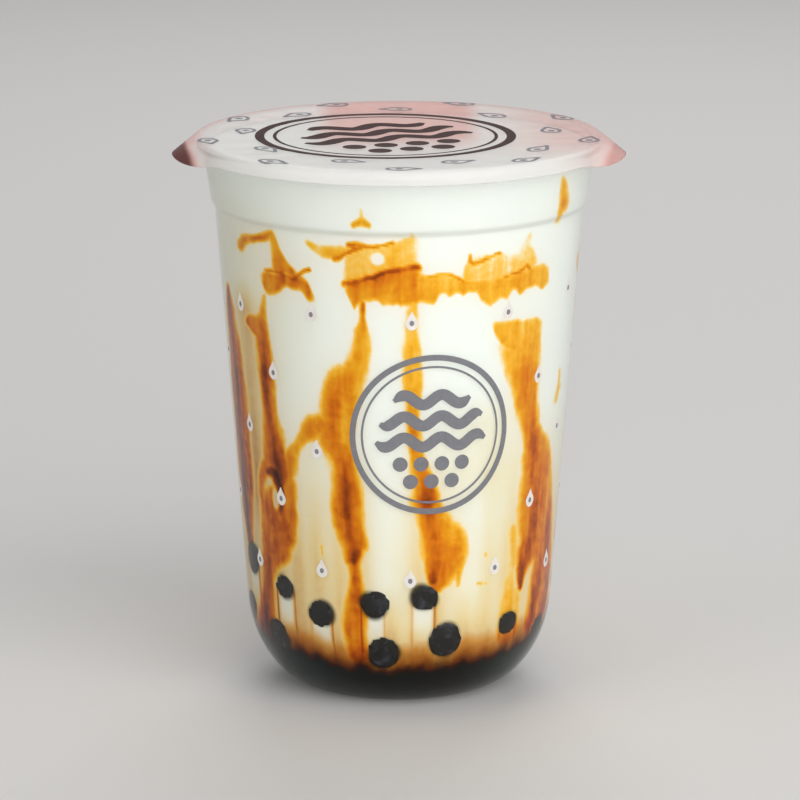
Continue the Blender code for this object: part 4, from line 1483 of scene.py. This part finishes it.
class BUBBLE_TEA_OT_stage(bpy.types.Operator):
    """Lay the pale floor, set the soft lights and place the camera"""

    bl_idname = "bubble_tea.stage"
    bl_label = "Stage"

    def execute(self, context):
        settings = context.scene.bubble_tea_stage
        scene = context.scene
        scene.view_settings.view_transform = 'Standard'
        corners = [(x * FLOOR_HALF, y * FLOOR_HALF, 0) for x, y in
                   ((-1, -1), (1, -1), (1, 1), (-1, 1))]
        floor = mesh_object("floor", corners, [(0, 1, 2, 3)])
        material, tree, output = new_material("matt_studio_board")
        place = add_node(tree, "ShaderNodeTexCoord").outputs["Object"]
        grain = add_node(tree, "ShaderNodeTexNoise", values={"Scale": 1 / (2.5 * MM)},
                         links={"Vector": place}).outputs["Fac"]
        bump = add_node(tree, "ShaderNodeBump", values={"Strength": 0.05, "Distance": 0.5 * MM},
                        links={"Height": grain}).outputs["Normal"]
        shader = add_node(tree, "ShaderNodeBsdfPrincipled",
                          values={"Base Color": (*settings.floor, 1), "Roughness": 0.7},
                          links={"Normal": bump})
        tree.links.new(shader.outputs["BSDF"], output.inputs["Surface"])
        floor.data.materials.append(material)

        world = bpy.data.worlds.new("studio")
        world.use_nodes = True
        background = world.node_tree.nodes["Background"]
        background.inputs["Color"].default_value = SKY_COLOUR
        background.inputs["Strength"].default_value = settings.sky
        scene.world = world
        lights = (
            ("key", KEY_PLACE, KEY_SIZE, settings.key_power),
            ("fill", FILL_PLACE, FILL_SIZE, settings.fill_power),
            ("back", BACK_PLACE, BACK_SIZE, 2 * settings.fill_power),
        )
        for name, location, size, power in lights:
            data = bpy.data.lights.new(name, 'AREA')
            data.size = size
            data.energy = power
            lamp = bpy.data.objects.new(name, data)
            scene.collection.objects.link(lamp)
            lamp.location = location
            aim = Vector(LIGHT_AIM) - lamp.location
            lamp.rotation_euler = aim.to_track_quat('-Z', 'Y').to_euler()

        data = bpy.data.cameras.new("camera")
        data.sensor_width = SENSOR_WIDTH_MM
        data.lens = FOCAL_PX * SENSOR_WIDTH_MM / IMAGE_SIZE
        data.shift_x = SHIFT_PX / IMAGE_SIZE
        camera = bpy.data.objects.new("camera", data)
        scene.collection.objects.link(camera)
        camera.location = (0, -CAMERA_DISTANCE, CAMERA_HEIGHT)
        camera.rotation_euler = (math.pi / 2 - CAMERA_PITCH, 0, 0)
        scene.camera = camera
        return {'FINISHED'}


class BUBBLE_TEA_PT_panel(bpy.types.Panel):
    """Buttons that build each piece, and the settings of all of them."""

    bl_idname = "BUBBLE_TEA_PT_panel"
    bl_label = "Bubble Tea"
    bl_space_type = 'VIEW_3D'
    bl_region_type = 'UI'
    bl_category = "Bubble Tea"

    def draw(self, context):
        for operator in OPERATORS:
            self.layout.operator(operator.bl_idname)
        for name in SETTINGS:
            group = getattr(context.scene, name)
            box = self.layout.box()
            for prop in group.bl_rna.properties:
                if prop.identifier not in {"rna_type", "name"}:
                    box.prop(group, prop.identifier)


OPERATORS = (
    BUBBLE_TEA_OT_stage, BUBBLE_TEA_OT_cup, BUBBLE_TEA_OT_drink, BUBBLE_TEA_OT_pearls,
    BUBBLE_TEA_OT_film, BUBBLE_TEA_OT_printing,
)
SETTINGS = {
    "bubble_tea_cup": CupSettings,
    "bubble_tea_drink": DrinkSettings,
    "bubble_tea_film": FilmSettings,
    "bubble_tea_print": PrintSettings,
    "bubble_tea_stage": StageSettings,
}


def register():
    """Register the settings, operators and panel."""
    for name, group in SETTINGS.items():
        bpy.utils.register_class(group)
        setattr(bpy.types.Scene, name, PointerProperty(type=group))
    for item in (*OPERATORS, BUBBLE_TEA_PT_panel):
        bpy.utils.register_class(item)


def unregister():
    """Undo register."""
    for item in reversed((*OPERATORS, BUBBLE_TEA_PT_panel)):
        bpy.utils.unregister_class(item)
    for name, group in SETTINGS.items():
        delattr(bpy.types.Scene, name)
        bpy.utils.unregister_class(group)


def main():
    """Build the whole drink."""
    register()
    bpy.ops.bubble_tea.stage()
    bpy.ops.bubble_tea.cup()
    bpy.ops.bubble_tea.drink()
    bpy.ops.bubble_tea.pearls()
    bpy.ops.bubble_tea.film()
    bpy.ops.bubble_tea.printing()


if __name__ == "__main__":
    main()
